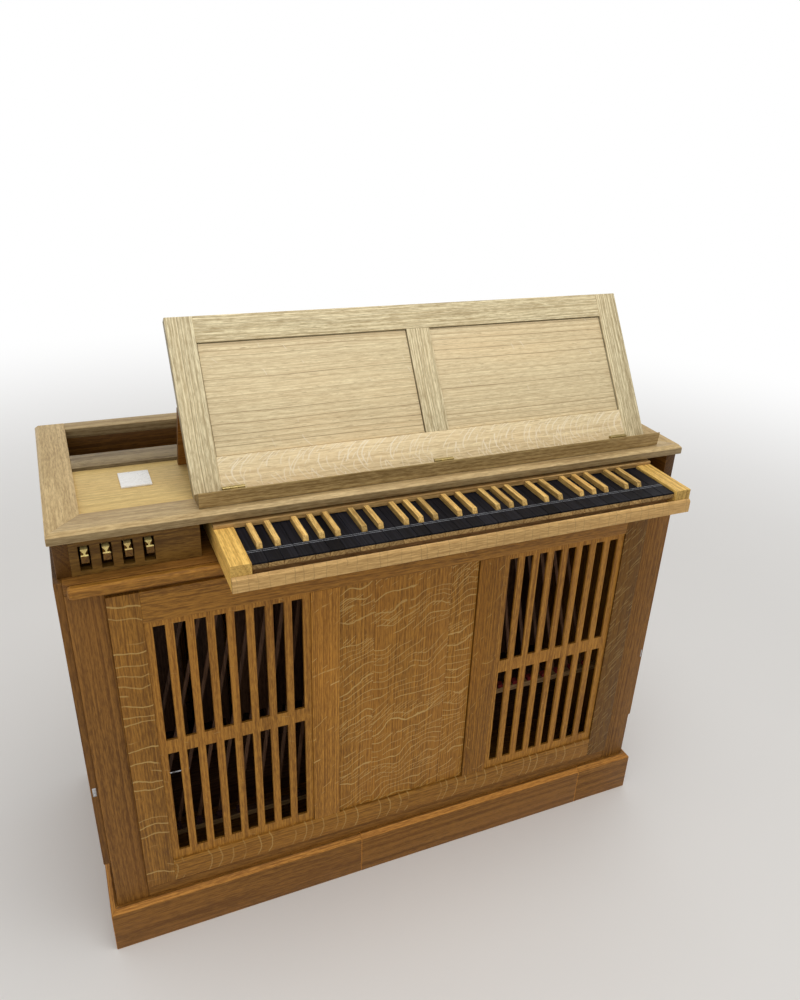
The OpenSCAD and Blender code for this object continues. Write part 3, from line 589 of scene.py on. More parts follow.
@kept
def oak(f, base, flecks=(), strength=0.9, rough=0.48, contrast=1.0, rings=260.0, lines=(0, 0), ray=None):
    """Oak: rings by distance from the heart, wandering along the grain; short dark pores along it; and rays
    across it, pale unless ray gives their colour. flecks lists sets of Rays. rings is how many year rings
    there are in a metre. lines is how many of them also show as a thin dark line in a metre, and how dark
    those are."""
    tone, middle = (Value(f, f.attribute(name, "Fac")) for name in ("tone", "across"))
    parts = f.node("SeparateXYZ", None, {"Vector": f.grain})
    u, v, w = (Value(f, parts.outputs[i]) for i in range(3))
    wander = f.drawn(1.7, 8, rough=0.5) - 0.5
    radius = (v * v + w * w) ** 0.5 + wander * 0.016 + u * 0.0035
    ring = f.noise_along(radius * rings, 3.0, 0.6)
    band = f.noise_along(radius * (rings * 0.14))
    streak = f.drawn(7, 300, rough=0.65)
    ticks = f.drawn(55, 400, rough=0.65)
    pores = f.drawn(60, 1150, 2.0)
    pore = f.step(pores, 0.56, 0.68) * (0.35 + f.step(ring, 0.45, 0.62) * 0.65)
    blotch = f.drawn(2.2, 11, rough=0.55)
    level = ((ring - 0.5) * 1.1 + (band - 0.5) * 0.3 + (streak - 0.5) * 0.9
             + (ticks - 0.5) * 1.5 + (blotch - 0.5) * 0.35)
    hue = f.mix(f.step(level * contrast, -0.42, 0.42), tinted(base, 0.56, 0.48, 0.38), shade(base, 1.42))
    hue = f.mix(f.step(blotch, 0.35, 0.72) * 0.3, hue, tinted(base, 1.10, 0.92, 0.74))
    hue = f.mix(pore * 0.6, hue, tinted(base, 0.36, 0.29, 0.22))
    per_metre, darkness = lines
    if per_metre:
        year = radius * per_metre + streak * 0.3
        number = f.math("FLOOR", year)
        thin = 1.0 - f.step(abs(year - number - 0.5), 0.00022 * per_metre, 0.0009 * per_metre)
        dark = thin * f.chance(number) * (0.35 + ticks * 1.1) * darkness
        hue = f.mix(dark, hue, tinted(base, 0.40, 0.33, 0.26))
    gloss = rough + (0.5 - ring) * 0.14 + (ticks - 0.5) * 0.2 + pore * 0.2
    height = ring * 0.3 + ticks * 0.3 - pore * 0.9
    for i, rays in enumerate(flecks):
        shown = ray_lines(f, u, v, middle, rays, 11.3 * i)
        hue = f.mix(shown * strength, hue, ray or tuple(c ** 0.6 for c in base))
        gloss = gloss - shown * 0.12
        height = height + shown * 0.3
    return {
        "Base Color": f.scaled(hue, tone), "Roughness": gloss, "Normal": f.bump(height, 0.35),
        "IOR": 1.28, "Coat Weight": 0.03, "Coat Roughness": 0.35,
    }


@kept
def black_wood(f, base):
    """Close black wood with a satin sheen and hair-fine streaks along the key."""
    tone = Value(f, f.attribute("tone", "Fac"))
    streak = f.drawn(8, 500)
    wear = f.drawn(60, 90)
    hue = f.mix(f.step(streak, 0.35, 0.7), base, shade(base, 2.6))
    return {
        "Base Color": f.scaled(hue, tone), "Roughness": 0.36 + (wear - 0.5) * 0.25,
        "Normal": f.bump(streak, 0.15), "IOR": 1.12,
    }


@kept
def chalk_line(f, base):
    """The pale scribed lines across the keys."""
    dust = f.drawn(900, 900, rough=0.7)
    return {"Base Color": f.mix(f.step(dust, 0.3, 0.65), shade(base, 0.25), base), "Roughness": 0.8}


@kept
def felt_cloth(f, base):
    """Felt: a tangle of short fibres, as two noises at different scales."""
    fibres = f.drawn(1400, 1400, 4.0, 0.7)
    pile = f.drawn(180, 180)
    hue = f.mix(f.step(fibres * 0.6 + pile * 0.4, 0.3, 0.7), shade(base, 0.55), shade(base, 1.4))
    return {"Base Color": hue, "Roughness": 0.95, "Normal": f.bump(fibres, 0.6)}


@kept
def metal(f, base, rough=0.35):
    """Drawn metal: fine lines along its length, dulled in patches."""
    lines = f.drawn(60, 2500)
    patch = f.drawn(70, 70)
    hue = f.mix(f.step(patch, 0.35, 0.7), shade(base, 0.7), base)
    return {
        "Base Color": hue, "Metallic": 1.0, "Roughness": rough + (lines - 0.5) * 0.2 + (patch - 0.5) * 0.2,
        "Normal": f.bump(lines, 0.1, 0.0002),
    }


@kept
def white_plate(f, base):
    """A white plate with a faint cloud in its gloss."""
    cloud = f.drawn(90, 90, 4.0)
    hue = f.mix(f.step(cloud, 0.3, 0.7), shade(base, 0.97), base)
    return {"Base Color": hue, "Roughness": 0.28 + (cloud - 0.5) * 0.2, "Normal": f.bump(cloud, 0.05)}


def case_oak():
    return oak("case_oak", wood().case)


def inner_wood():
    return oak("inner_wood", wood().inner, contrast=0.7, rough=0.7)


# Operators: one for each group of pieces

class ORGAN_OT_plinth(bpy.types.Operator):
    """Four mitred plinth boards, the front one in three lengths"""

    bl_idname = "organ.plinth"
    bl_label = "Plinth"

    def execute(self, context):
        j = joinery()
        c = j.plinth_chamfer
        finish = oak("plinth_oak", shade(wood().case, 1.10))
        for side, out in (("front", -Y), ("back", Y), ("left", -X), ("right", X)):
            node = "plinth_" + side
            low, high = corners(node)
            run = np.cross(out, Z)
            depth = abs(out @ (high - low))
            face = max(out @ low, out @ high) - depth
            a, b = sorted((run @ low, run @ high))
            outline = [(0, low[2]), (depth, low[2]), (depth, high[2] - c), (depth - c, high[2]), (0, high[2])]
            cuts = [a + j.plinth_joint_a, a + j.plinth_joint_b] if side == "front" else []
            shapes = []
            for p, q in zip([a, *cuts], [*cuts, b]):
                first, last = float(p == a), float(q == b)
                start, end = p + depth * first, q - depth * last
                shapes.append(carried(outline, start, end, (out, Z, run), slant=(-first, last)))
            # A strong painted highlight along the plinth's chamfer
            look = {"cut": "flat", "seed": 11, "spread": 0.04, "arris": 1.1}
            put(node + "_boards", shapes, node, finish, origin=out * face, **look)
        return {"FINISHED"}


class ORGAN_OT_carcass(bpy.types.Operator):
    """Posts, rails, side boards, floor board and deck"""

    bl_idname = "organ.carcass"
    bl_label = "Carcass"

    def execute(self, context):
        base = wood().case
        outer = ("front_post_left", "front_post_right", "side_left", "side_right", "floor_board", "deck")
        groups = (
            (20, case_oak(), outer),
            # The upper sides and the well boards take darker copies of the case oak: painted shade
            (26, oak("upper_oak", shade(base, 0.65)), ("upper_side_left", "upper_side_right")),
            (34, oak("well_oak", shade(base, 0.42)), ("upper_back", "well_front")),
        )
        for first, finish, nodes in groups:
            for seed, node in enumerate(nodes, first):
                boarded(node, finish, seed=seed)
        worked("front_rails_boards", "front_rails", case_oak(), cut="flat", seed=31)
        return {"FINISHED"}


class ORGAN_OT_ledge(bpy.types.Operator):
    """The rounded moulding along the front of the deck"""

    bl_idname = "organ.ledge"
    bl_label = "Ledge"

    def execute(self, context):
        finish = oak("ledge_oak", shade(wood().front, 0.85))
        shape = plank(*corners("ledge"), LEDGE_EDGE)
        # A painted highlight on the ledge's rounded edges
        put("ledge_moulding", [shape], "ledge", finish, cut="flat", seed=41, smooth=70, arris=0.25)
        return {"FINISHED"}


def frame_boards(low, high, fields):
    """Stiles and rails of an upright frame between two corners: the stiles run its full height at the ends,
    the rails lie between them, and the middle stiles stand between the rails. fields are the (low, high)
    openings, left to right, given by their X and Z."""
    shapes = []

    def board(x0, z0, x1, z1):
        shapes.append(plank((x0, low[1], z0), (x1, high[1], z1)))

    first, last = fields[0], fields[-1]
    board(low[0], low[2], first[0][0], high[2])
    board(last[1][0], low[2], high[0], high[2])
    board(first[0][0], low[2], last[1][0], first[0][1])
    board(first[0][0], first[1][1], last[1][0], high[2])
    for one, two in zip(fields, fields[1:]):
        board(one[1][0], first[0][1], two[0][0], first[1][1])
    return shapes


class ORGAN_OT_front_panel(bpy.types.Operator):
    """The front frame with its stiles and rails, the centre panel and the two slatted grilles"""

    bl_idname = "organ.front_panel"
    bl_label = "Front panel"

    joints: numbers("Panel joints", "Where its boards meet, as shares of its width", (0.26, 0.78))

    def execute(self, context):
        g = joinery().groove
        fields = []
        for node in ("grille_left", "centre_panel", "grille_right"):
            a, b = corners(node)
            fields.append(((a[0] + g, a[2] + g), (b[0] - g, b[2] - g)))
        boards = frame_boards(*corners("front_frame"), fields)
        base = wood().front
        left = [Rays(50, 0.10, 0.045, 0.0011, 1.7, 0.41)]
        right = [Rays(110, -0.9, 0.008, 0.0008, 0.5, 0.0), Rays(90, -1.3, 0.010, 0.0008, 0.3, 0.3)]
        bottom = [Rays(46, -0.1, 0.010, 0.0011, 1.3, 0.42, -11.0)]
        upper = [Rays(60, 0.6, 0.02, 0.0005, -0.2, 0.5)]
        middle = [Rays(30, -0.4, 0.03, 0.0013, 0.3, 0.48), Rays(90, -0.8, 0.02, 0.0006, -0.1, 0.4)]
        far = [Rays(60, 0.2, 0.03, 0.0010, 0.2, 0.5, 30.0), Rays(40, -0.9, 0.02, 0.0012, 0.1, 0.5)]
        slats = [Rays(70, 0.3, 0.03, 0.0006, -0.1, 0.45)]
        finishes = [
            oak("left_stile_oak", shade(base, 0.80), left, 1.0, lines=(230, 0.8)),
            # The right stile and the far middle stile are darker than the others: partly their own tone,
            # partly painted shade that deepens towards the right
            oak("right_stile_oak", shade(base, 0.46), right, 1.0, contrast=0.7),
            oak("bottom_rail_oak", shade(base, 0.80), bottom, 0.7),
            oak("top_rail_oak", shade(base, 0.82), upper, 0.4),
            oak("middle_stile_oak", shade(base, 1.02), middle, 0.9, lines=(300, 0.9)),
            # Painted shade, as on the right stile, with a tone of its own
            oak("far_stile_oak", tinted(base, 0.84, 0.80, 0.6), far, 0.9, lines=(300, 0.9)),
        ]
        look = {"cut": "quarter", "seed": 53, "spread": 0.04, "dim": INNER_EDGES}
        put("front_frame_joinery", boards, "front_frame", finishes, range(len(boards)), **look)
        finish = oak("grille_oak", shade(base, 1.02), slats, 0.4)
        for seed, node in enumerate(("grille_left", "grille_right"), 60):
            worked(node + "_slats", node, finish, edge=0.0006, seed=seed, spread=0.02)
        self.centre_panel(base)
        return {"FINISHED"}

    def centre_panel(self, base):
        """Three boards glued edge to edge, with a narrow step round their faces, dark at the frame."""
        low, high = corners("centre_panel")
        shapes = []
        cuts = low[0] + (high[0] - low[0]) * np.array([0.0, *self.joints, 1.0])
        seen = joinery().groove + joinery().gap
        back = low[1] + joinery().step
        for a, b in zip(cuts, cuts[1:]):
            shapes.append(plank((a, back, low[2]), (b, *high[1:]), FINE_EDGE))
            near = (max(a, low[0] + seen), low[1], low[2] + seen)
            far = (min(b, high[0] - seen), back + STEP_LAP, high[2] - seen)
            shapes.append(plank(near, far, FINE_EDGE, axis=2))
        rays = [Rays(62, -0.32, 0.085, 0.0010, 1.3, 0.30), Rays(140, -0.60, 0.03, 0.0007, 0.6, 0.53)]
        finish = oak("panel_oak", base, rays, 1.0, lines=(240, 0.6))
        put("centre_panel_board", shapes, "centre_panel", finish, cut="quarter", seed=71, spread=0.03)


class ORGAN_OT_sides_and_back(bpy.types.Operator):
    """The lift-off side panels with their rounded corners and catches, and the framed back"""

    bl_idname = "organ.sides_and_back"
    bl_label = "Sides and back"

    def execute(self, context):
        g, half = joinery().groove, joinery().back_member / 2
        for seed, node in enumerate(("side_panel_left", "side_panel_right"), 80):
            worked(node + "_board", node, case_oak(), seed=seed)
        low, high = corners("back_frame")
        a, b = corners("back_panels")
        mid = (low[0] + high[0]) / 2
        bottom, top = a[2] + g, b[2] - g
        fields = [((a[0] + g, bottom), (mid - half, top)), ((mid + half, bottom), (b[0] - g, top))]
        put("back_frame_joinery", frame_boards(low, high, fields), "back_frame", case_oak(), seed=85)
        finish = oak("back_panel_oak", shade(wood().front, 0.9))
        worked("back_panel_boards", "back_panels", finish, cut="flat", seed=88)
        self.catches()
        return {"FINISHED"}

    def catches(self):
        """A steel keep let into the front edge of each side panel, with two screws."""
        shapes = []
        for node in ("side_panel_left", "side_panel_right"):
            low, high = corners(node)
            x, w = (low[0] + high[0]) / 2, (high[0] - low[0]) * 0.26
            face, z = low[1] - CATCH_PROUD, CATCH_HEIGHT
            near, far = (x - w, face, z - CATCH_HALF), (x + w, low[1] + 0.001, z + CATCH_HALF)
            shapes.append(plank(near, far, edge=0.0006))
            for dz in (-CATCH_SCREW, CATCH_SCREW):
                shapes.append(disc((x, face, z + dz), -Y, radius=0.0018, dome=0.0005))
        finish = metal("catch_steel", wood().steel)
        put("side_catches", shapes, None, finish, body="root", slot="steel", seed=90)


class ORGAN_OT_top(bpy.types.Operator):
    """The chamfered top frame round its sunk panel and the well, with the bare plaque"""

    bl_idname = "organ.top"
    bl_label = "Top"

    def execute(self, context):
        g, c = joinery().groove, joinery().top_chamfer
        low, high = corners("top_frame")
        a, b = corners("top_panel")
        well = corners("well_front")[1][1], corners("upper_back")[0][1]
        x0, x1, y0, y1 = a[0] + g, b[0] - g, a[1] + g, b[1] - g
        top, bottom = high[2], low[2]

        def section(near, far):
            """A board whose outer upper edge, at near, is chamfered."""
            k = c if far > near else -c
            flat = [(near, bottom), (near, top - c), (near + k, top), (far, top), (far, bottom)]
            return flat if far < near else flat[::-1]

        lean = (x0 - low[0]) / (y0 - low[1])
        start, end = low[0] - lean * low[1], high[0] + lean * low[1]
        shapes = [
            carried(section(low[1], y0), start, end, slant=(lean, -lean)),
            carried(section(high[1], well[1]), x0, x1),
            plank((x0, y1, bottom), (x1, well[0], top)),
        ]
        for near, far in ((low[0], x0), (high[0], x1)):
            k = (1 if far > near else -1) / lean
            outline = [(q, -z) for q, z in section(near, far)][::-1]
            stile = carried(outline, low[1] - k * near, high[1], (X, -Z, Y), slant=(k, 0.0))
            shapes.append((self.end_chamfer(stile[0], high, c), stile[1]))
        base = wood().top
        finishes = [
            oak("top_oak", base, contrast=0.6),
            # The back rail and the middle rail take darker copies of the top oak: painted shade
            oak("top_back_oak", shade(base, 0.75), contrast=0.7),
            oak("middle_rail_oak", shade(base, 0.42)),
        ]
        look = {"cut": "flat", "seed": 97, "spread": 0.03, "dim": TOP_FRONT}
        put("top_frame_joinery", shapes, "top_frame", finishes, [0, 1, 2, 0, 0], **look)
        boarded("top_panel", oak("sunk_oak", wood().sunk, contrast=0.3), seed=99, spread=0)
        plate = plank(*corners("plaque"), edge=0.0008, axis=0)
        put("plaque_plate", [plate], "plaque", white_plate("bare_plate", wood().plate), seed=101)
        return {"FINISHED"}

    @staticmethod
    def end_chamfer(points, high, c):
        """Chamfers the back end of a stile: no point stands further out than its height allows."""
        over = np.clip(points[:, 2] - (high[2] - c), 0, None)
        points[:, 1] = np.minimum(points[:, 1], high[1] - over)
        return points


class ORGAN_OT_stops(bpy.types.Operator):
    """The stop jamb with its slots, four levers, and the comb and pin behind them"""

    bl_idname = "organ.stops"
    bl_label = "Stops"

    pinch: share("Pinch", "Share of its width that a lever loses at its waist", 0.55)
    waist: length("Waist", "Distance of the waist from the lever's end", 0.0125)
    reach: length("Reach", "Length over which the waist runs out", 0.0055)
    slim: share("Slim", "Share of its width that a lever loses all along", 0.14)

    def execute(self, context):
        case, cheek = wood().case, wood().cheek
        jamb = oak("jamb_oak", tinted(case, 0.86, 0.98, 1.0))
        worked("stop_jamb_board", "stop_jamb", jamb, edge=PLAIN_EDGE, cut="flat", seed=110)
        # One oak, painted as a pale lit top and darker shaded flanks
        finishes = [
            oak("lever_top_oak", tinted(cheek, 1.3, 1.4, 2.1), contrast=0.3),
            oak("lever_oak", tinted(case, 0.62, 0.66, 0.60)),
        ]
        for i in range(1, 5):
            node = f"stop_lever_{i}"
            mesh = self.pinched(node)
            piece = worked(node + "_bar", node, finishes, SMALL_EDGE, mesh, smooth=25, seed=112 + i, ends=0.0)
            by_face(piece, "normal", LEVER_TOP)
        worked("stop_comb", "stop_block", inner_wood(), edge=PLAIN_EDGE, seed=120)
        worked("stop_pin_rod", "stop_pin", metal("pin_steel", wood().steel), edge=0.0003, seed=121)
        return {"FINISHED"}

    def pinched(self, node):
        """The lever slimmer and with its waist drawn in further: each width is scaled by (1 - slim)
        (1 - pinch exp(-((y - waist) / reach)^2))."""
        low, high = corners(node)
        mesh = merged(node)
        points = read(mesh.vertices, "co", 3)
        middle = (low[0] + high[0]) / 2
        narrow = 1 - self.pinch * np.exp(-((points[:, 1] - low[1] - self.waist) / self.reach) ** 2)
        narrow *= 1 - self.slim
        points[:, 0] = middle + (points[:, 0] - middle) * narrow
        mesh.vertices.foreach_set("co", points.astype(np.float32).ravel())
        return mesh


class ORGAN_OT_keyboard(bpy.types.Operator):
    """The sliding keyboard: base, runners, slip, cheeks and name rail"""

    bl_idname = "organ.keyboard"
    bl_label = "Keyboard"

    def execute(self, context):
        base = wood().slip
        worked("runner_strips", "runners", inner_wood(), edge=PLAIN_EDGE, seed=130)
        worked("tray_base", "tray_frame", inner_wood(), edge=PLAIN_EDGE, seed=131)
        rays = [Rays(60, 0.05, 0.006, 0.0006, 1.4, 0.25)]
        slip = oak("slip_oak", base, rays, 0.5, contrast=0.5, ray=shade(base, 0.45))
        worked("slip_board", "slip", slip, cut="quarter", seed=133, spread=0)
        cheek = oak("cheek_oak", wood().cheek, contrast=0.9, rings=190)
        for seed, node in enumerate(("cheek_left", "cheek_right"), 136):
            worked(node + "_block", node, cheek, cut="flat", seed=seed)
        worked("name_rail_board", "name_rail", oak("rail_oak", shade(base, 0.75)), seed=139)
        return {"FINISHED"}


class ORGAN_OT_keys(bpy.types.Operator):
    """Natural keys with dark covers and scribed lines, and the pale sharps"""

    bl_idname = "organ.keys"
    bl_label = "Keys"

    scribe_back: numbers("Scribed lines", "How far behind the keys' front, in metres", (0.0325, 0.0370))
    scribe_width: length("Line width", "Width of a scribed line", 0.0010)

    def execute(self, context):
        bodies = oak("key_oak", wood().slip)
        worked("natural_key_bodies", "natural_bodies", bodies, SMALL_EDGE, along=1, seed=150, spread=0.10)
        covers = self.scribed()
        marked = [p.material_index for p in covers.polygons]
        finishes = [black_wood("key_black", wood().ebony), chalk_line("key_line", wood().line)]
        look = {"along": 1, "seed": 152, "spread": 0.2}
        piece = worked("natural_key_covers", "natural_covers", finishes, SMALL_EDGE, covers, **look)
        piece.data.polygons.foreach_set("material_index", marked)
        sharp = oak("sharp_oak", tinted(wood().cheek, 1.08, 1.05, 1.3), rings=330, contrast=0.9)
        look = {"spread": 0.12, "ends": 0.5, "dim": SHARP_FLANKS}
        worked("sharp_keys", "sharps", sharp, edge=0.0008, along=1, seed=154, **look)
        return {"FINISHED"}

    def scribed(self):
        """The covers cut along both edges of each line, with the faces between sunk, in finish 1."""
        covers = merged("natural_covers")
        low = corners("natural_covers")[0]
        bm = bmesh.new()
        bm.from_mesh(covers)
        half = self.scribe_width / 2
        lines = [low[1] + s for s in self.scribe_back]
        for y in (line + d for line in lines for d in (-half, half)):
            whole = bm.verts[:] + bm.edges[:] + bm.faces[:]
            bmesh.ops.bisect_plane(bm, geom=whole, plane_co=(0, y, 0), plane_no=(0, 1, 0))

        def in_line(face):
            y = face.calc_center_median().y
            return face.normal.z > 0.9 and any(abs(y - line) < half for line in lines)

        faces = [face for face in bm.faces if in_line(face)]
        for face in faces:
            face.material_index = 1
        bmesh.ops.inset_region(bm, faces=faces, thickness=0.00005, depth=-LINE_DEPTH, use_even_offset=True)
        bm.to_mesh(covers)
        bm.free()
        return covers


class ORGAN_OT_music_desk(bpy.types.Operator):
    """The music desk: framed panels, the wedge-shaped lip and the prop behind"""

    bl_idname = "organ.music_desk"
    bl_label = "Music desk"

    lean: angle("Lean", "Lean back from upright", math.radians(34))
    height: length("Height", "Length along its face", 0.285)
    thickness: length("Thickness", "Thickness of its frame", 0.020)
    sink: length("Sink", "Depth of the panels behind the frame's face", 0.004)
    panel: length("Panel", "Thickness of the panels", 0.008)

    def execute(self, context):
        low, high = corners("desk_frame")
        s, c = math.sin(self.lean), math.cos(self.lean)
        turn = np.array([[1, 0, 0], [0, c, s], [0, -s, c]])
        # The upper back edge reaches furthest in Y, and the upper front edge furthest in Z
        foot_y = high[1] - self.height * s - self.thickness * c
        foot_z = high[2] - self.height * c
        origin = np.array([low[0], foot_y, foot_z])
        self.desk_panels(turn, origin, high[0] - low[0])
        self.desk_frame(turn, origin, high[0] - low[0], low[2])
        # The lip takes a darker copy of the desk oak: painted shade on its front
        lip = oak("lip_oak", tinted(wood().desk, 0.42, 0.37, 0.25), contrast=0.9)
        worked("desk_lip_board", "desk_lip", lip, seed=170)
        worked("desk_prop_board", "desk_prop", case_oak(), seed=171)
        return {"FINISHED"}

    def desk_panels(self, turn, origin, width):
        """Two panels in the frame's grooves, each with a narrow step round its face."""
        j = joinery()
        st, g, rail = j.desk_stile, j.groove, j.desk_rail
        w, top, back = (width - 3 * st) / 2, self.height - st, self.sink + j.step
        shapes = []
        for x in (st, 2 * st + w):
            board = plank((x - g, back, rail - g), (x + w + g, self.sink + self.panel, top + g))
            near = (x + j.gap, self.sink, rail + j.gap)
            face = plank(near, (x + w - j.gap, back + STEP_LAP, top - j.gap), 0.0003)
            shapes += [board, face]
        rays = [Rays(60, 0.5, 0.05, 0.0008, 0.0, 0.52)]
        finish = oak("desk_panel_oak", wood().desk, rays, 0.5, contrast=0.32, lines=(110, 1.0))
        look = {"cut": "quarter", "seed": 161, "spread": 0.02}
        put("desk_panel_boards", shapes, "desk_panels", finish, origin=origin, basis=turn, **look)

    def desk_frame(self, turn, origin, width, floor):
        """Stiles and rails; the feet of the stiles and the bottom rail are cut level and stand behind the
        top's rail."""
        j = joinery()
        st, rail, t, h = j.desk_stile, j.desk_rail, self.thickness, self.height
        s, c = math.sin(self.lean), math.cos(self.lean)
        drop = origin[2] - floor
        back = (drop - t * s) / c
        step = FOOT_STEP
        behind = step * c, step * -s
        foot = [(0, h), (0, 0), behind, (behind[0] + drop * s, behind[1] - drop * c), (t, -back), (t, h)]

        def upright(a, b, top):
            return carried([(p, min(q, top)) for p, q in foot], a, b)

        w = (width - 3 * st) / 2
        shapes = [upright(0, st, h), upright(width - st, width, h), upright(st, width - st, rail)]
        shapes.append(plank((st, 0, h - st), (width - st, t, h)))
        shapes.append(plank((st + w, 0, rail), (2 * st + w, t, h - st)))
        rays = [Rays(80, 0.2, 0.02, 0.0010, 0.8, 0.30, 26.0), Rays(130, -0.4, 0.02, 0.0008, 0.5, 0.3, 20.0)]
        finishes = [
            oak("desk_frame_oak", wood().desk_frame, contrast=0.8, rings=330.0, lines=(260, 0.8)),
            oak("desk_rail_oak", wood().desk, rays, 0.8, contrast=0.35),
        ]
        look = {"seed": 163, "spread": 0.03, "dim": INNER_EDGES}
        put("desk_frame_joinery", shapes, "desk_frame", finishes, [0, 0, 1, 0, 0], origin, turn, **look)


class ORGAN_OT_hinges(bpy.types.Operator):
    """Brass hinges of the lip and of the prop"""

    bl_idname = "organ.hinges"
    bl_label = "Hinges"

    def execute(self, context):
        brass = metal("hinge_brass", wood().brass)
        for seed, node in enumerate(("lip_hinges", "lip_leaves", "prop_hinges"), 180):
            worked(node + "_brass", node, brass, edge=FINE_EDGE, smooth=30, seed=seed)
        return {"FINISHED"}


class ORGAN_OT_inside(bpy.types.Operator):
    """What shows through the grilles: pipes, windchest, trackers, their rails and felts, and a steel rod"""

    bl_idname = "organ.inside"
    bl_label = "Inside"

    def execute(self, context):
        dark = wood().dark
        worked("windchest_box", "windchest", oak("chest_wood", dark), cut="flat", seed=190)
        worked("wooden_pipe_row", "wooden_pipes", oak("pipe_wood", dark), cut="flat", seed=191, spread=0.2)
        # The lower rail and the lower felts take darker finishes: painted shade low in the case
        rails = [oak("rail_wood", shade(wood().inner, 0.6)), oak("low_rail_wood", shade(dark, 0.4))]
        bars = worked("tracker_rail_bars", "tracker_rails", rails, edge=PLAIN_EDGE, seed=192)
        by_face(bars, "center", LOW_RAIL)
        strips = oak("tracker_wood", shade(dark, 1.1))
        worked("tracker_strips", "trackers", strips, edge=0.0004, along=2, seed=193, spread=0.15)
        felts = [felt_cloth("red_felt", wood().felt), felt_cloth("dark_felt", shade(wood().felt, 0.15))]
        by_face(worked("felt_pads", "felts", felts, edge=0.001, seed=194), "center", LOW_RAIL)
        self.rod()
        return {"FINISHED"}

    def rod(self):
        """A steel rod from the left side inwards: a circle carried along X."""
        a = np.linspace(0, 2 * math.pi, 13)[:-1]
        circle = np.stack([np.cos(a), np.sin(a)], 1) * ROD_RADIUS
        start = corners("side_left")[1][0] - 0.001
        rod = carried(circle, start, ROD_END, edge=0.0003)
        finish = metal("rod_steel", wood().steel, 0.2)
        put("bellows_rod", [rod], None, finish, origin=ROD_PLACE, body="root", slot="steel", seed=195)


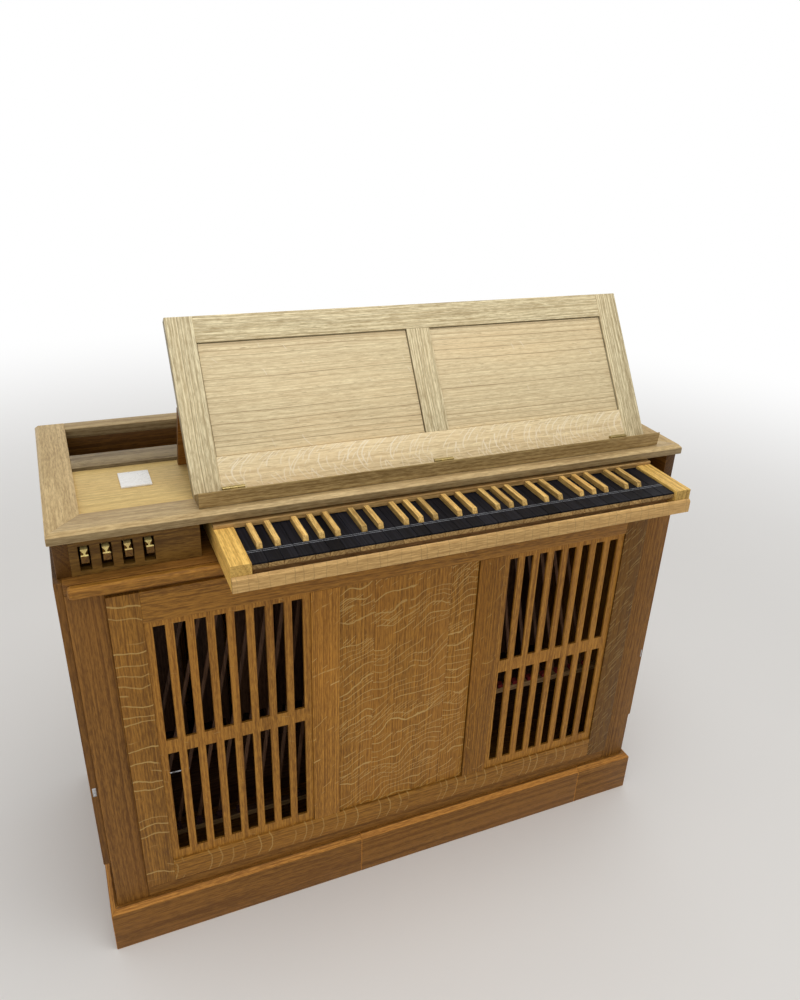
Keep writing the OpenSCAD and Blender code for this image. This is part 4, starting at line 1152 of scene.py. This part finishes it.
class ORGAN_OT_stage(bpy.types.Operator):
    """Camera at the photograph's viewing angle, pale floor and soft lamps"""

    bl_idname = "organ.stage"
    bl_label = "Stage"

    def execute(self, context):
        scene = context.scene
        p = scene.organ_stage
        camera = bpy.data.cameras.new("camera")
        camera.sensor_width, camera.lens = 36.0, p.lens
        camera.shift_x, camera.shift_y = p.shift
        camera.clip_start, camera.clip_end = 0.05, 100
        seen = bpy.data.objects.new("camera", camera)
        turn = Matrix.Identity(3)
        for amount, axis in ((p.turn, "Z"), (p.pitch, "X"), (p.roll, "Y"), (math.pi / 2, "X")):
            turn = turn @ Matrix.Rotation(amount, 3, axis)
        seen.location, seen.rotation_euler = p.place, turn.to_euler()
        scene.collection.objects.link(seen)
        scene.camera = seen
        self.floor(p)
        self.lamp("key_lamp", p.key, **KEY_LAMP)
        self.lamp("fill_lamp", p.fill, **FILL_LAMP)
        self.sky(p)
        scene.view_settings.view_transform = "Standard"
        return {"FINISHED"}

    def floor(self, p):
        """A pale level floor, which fades to plain white for the camera between two distances from the
        organ."""
        f = Finish("pale_floor")
        at = f.node("TexCoord").outputs["Object"]
        cloud = f.drawn(2, 2, 4.0, vector=at)
        hue = f.mix(cloud * 0.5, shade(p.floor, 0.97), shade(p.floor, 1.03))
        f.done({"Base Color": hue, "Roughness": 0.7})
        far = Value(f, f.node("VectorMath", {"operation": "LENGTH"}, {0: at}).outputs["Value"])
        white = f.node("Emission", None, {"Color": (1, 1, 1, 1), "Strength": 1.0}).outputs[0]
        fade = {0: f.step(far, *FADE) * f.in_view(), 1: f.shader.outputs[0], 2: white}
        f.fill(f.nodes["Material Output"], {"Surface": f.node("MixShader", None, fade).outputs[0]})
        points = 13
        line = np.linspace(-FLOOR_REACH, FLOOR_REACH, points)
        x, y = np.meshgrid(line, line, indexing="ij")
        grid = np.stack([x, y, np.full(x.shape, -FLOOR_DROP)], -1)
        i, j = np.meshgrid(np.arange(points - 1), np.arange(points - 1), indexing="ij")
        corner = i * points + j
        quads = np.stack([corner, corner + points, corner + points + 1, corner + 1], -1).reshape(-1, 4)
        mesh = bpy.data.meshes.new("floor")
        mesh.from_pydata(grid.reshape(-1, 3).tolist(), [], quads.tolist())
        mesh.materials.append(f.block)
        floor = bpy.data.objects.new("floor", mesh)
        bpy.context.scene.collection.objects.link(floor)

    def lamp(self, name, power, place, aim, size):
        """A square lamp of a size in metres and a power in watts, turned to its aim."""
        light = bpy.data.lights.new(name, "AREA")
        light.energy, light.size = power, size
        lamp = bpy.data.objects.new(name, light)
        lamp.location = place
        lamp.rotation_euler = (Vector(place) - Vector(aim)).to_track_quat("Z", "Y").to_euler()
        bpy.context.scene.collection.objects.link(lamp)

    def sky(self, p):
        """Even light all round, which the camera and reflections see as white."""
        light = Finish("studio", "worlds")
        bpy.context.scene.world = light.block
        light.done({"Color": (1, 1, 1, 1), "Strength": p.sky + light.in_view() * (1.0 - p.sky)})


STEPS = (
    ORGAN_OT_plinth, ORGAN_OT_carcass, ORGAN_OT_ledge, ORGAN_OT_front_panel, ORGAN_OT_sides_and_back,
    ORGAN_OT_top, ORGAN_OT_stops, ORGAN_OT_keyboard, ORGAN_OT_keys, ORGAN_OT_music_desk, ORGAN_OT_hinges,
    ORGAN_OT_inside, ORGAN_OT_stage,
)
GROUPS = (("organ_joinery", OrganJoinery), ("organ_wood", OrganWood), ("organ_stage", OrganStage))


class ORGAN_PT_panel(bpy.types.Panel):
    """Lists the operators and the sizes and colours that they use"""

    bl_idname = "ORGAN_PT_panel"
    bl_label = "Chest organ"
    bl_space_type = "VIEW_3D"
    bl_region_type = "UI"
    bl_category = "Organ"

    def draw(self, context):
        for step in STEPS:
            self.layout.operator(step.bl_idname)
        for group in (getattr(context.scene, name) for name, _ in GROUPS):
            box = self.layout.box()
            for name in group.bl_rna.properties.keys():
                if name not in ("rna_type", "name"):
                    box.prop(group, name)


def register():
    for name, group in GROUPS:
        bpy.utils.register_class(group)
        setattr(bpy.types.Scene, name, PointerProperty(type=group))
    for step in (*STEPS, ORGAN_PT_panel):
        bpy.utils.register_class(step)


def unregister():
    for step in (ORGAN_PT_panel, *reversed(STEPS)):
        bpy.utils.unregister_class(step)
    for name, group in reversed(GROUPS):
        delattr(bpy.types.Scene, name)
        bpy.utils.unregister_class(group)


def main():
    register()
    for step in STEPS:
        family, call = step.bl_idname.split(".")
        if getattr(getattr(bpy.ops, family), call)() != {"FINISHED"}:
            raise RuntimeError(f"{step.bl_idname} did not finish")


if __name__ == "__main__":
    main()
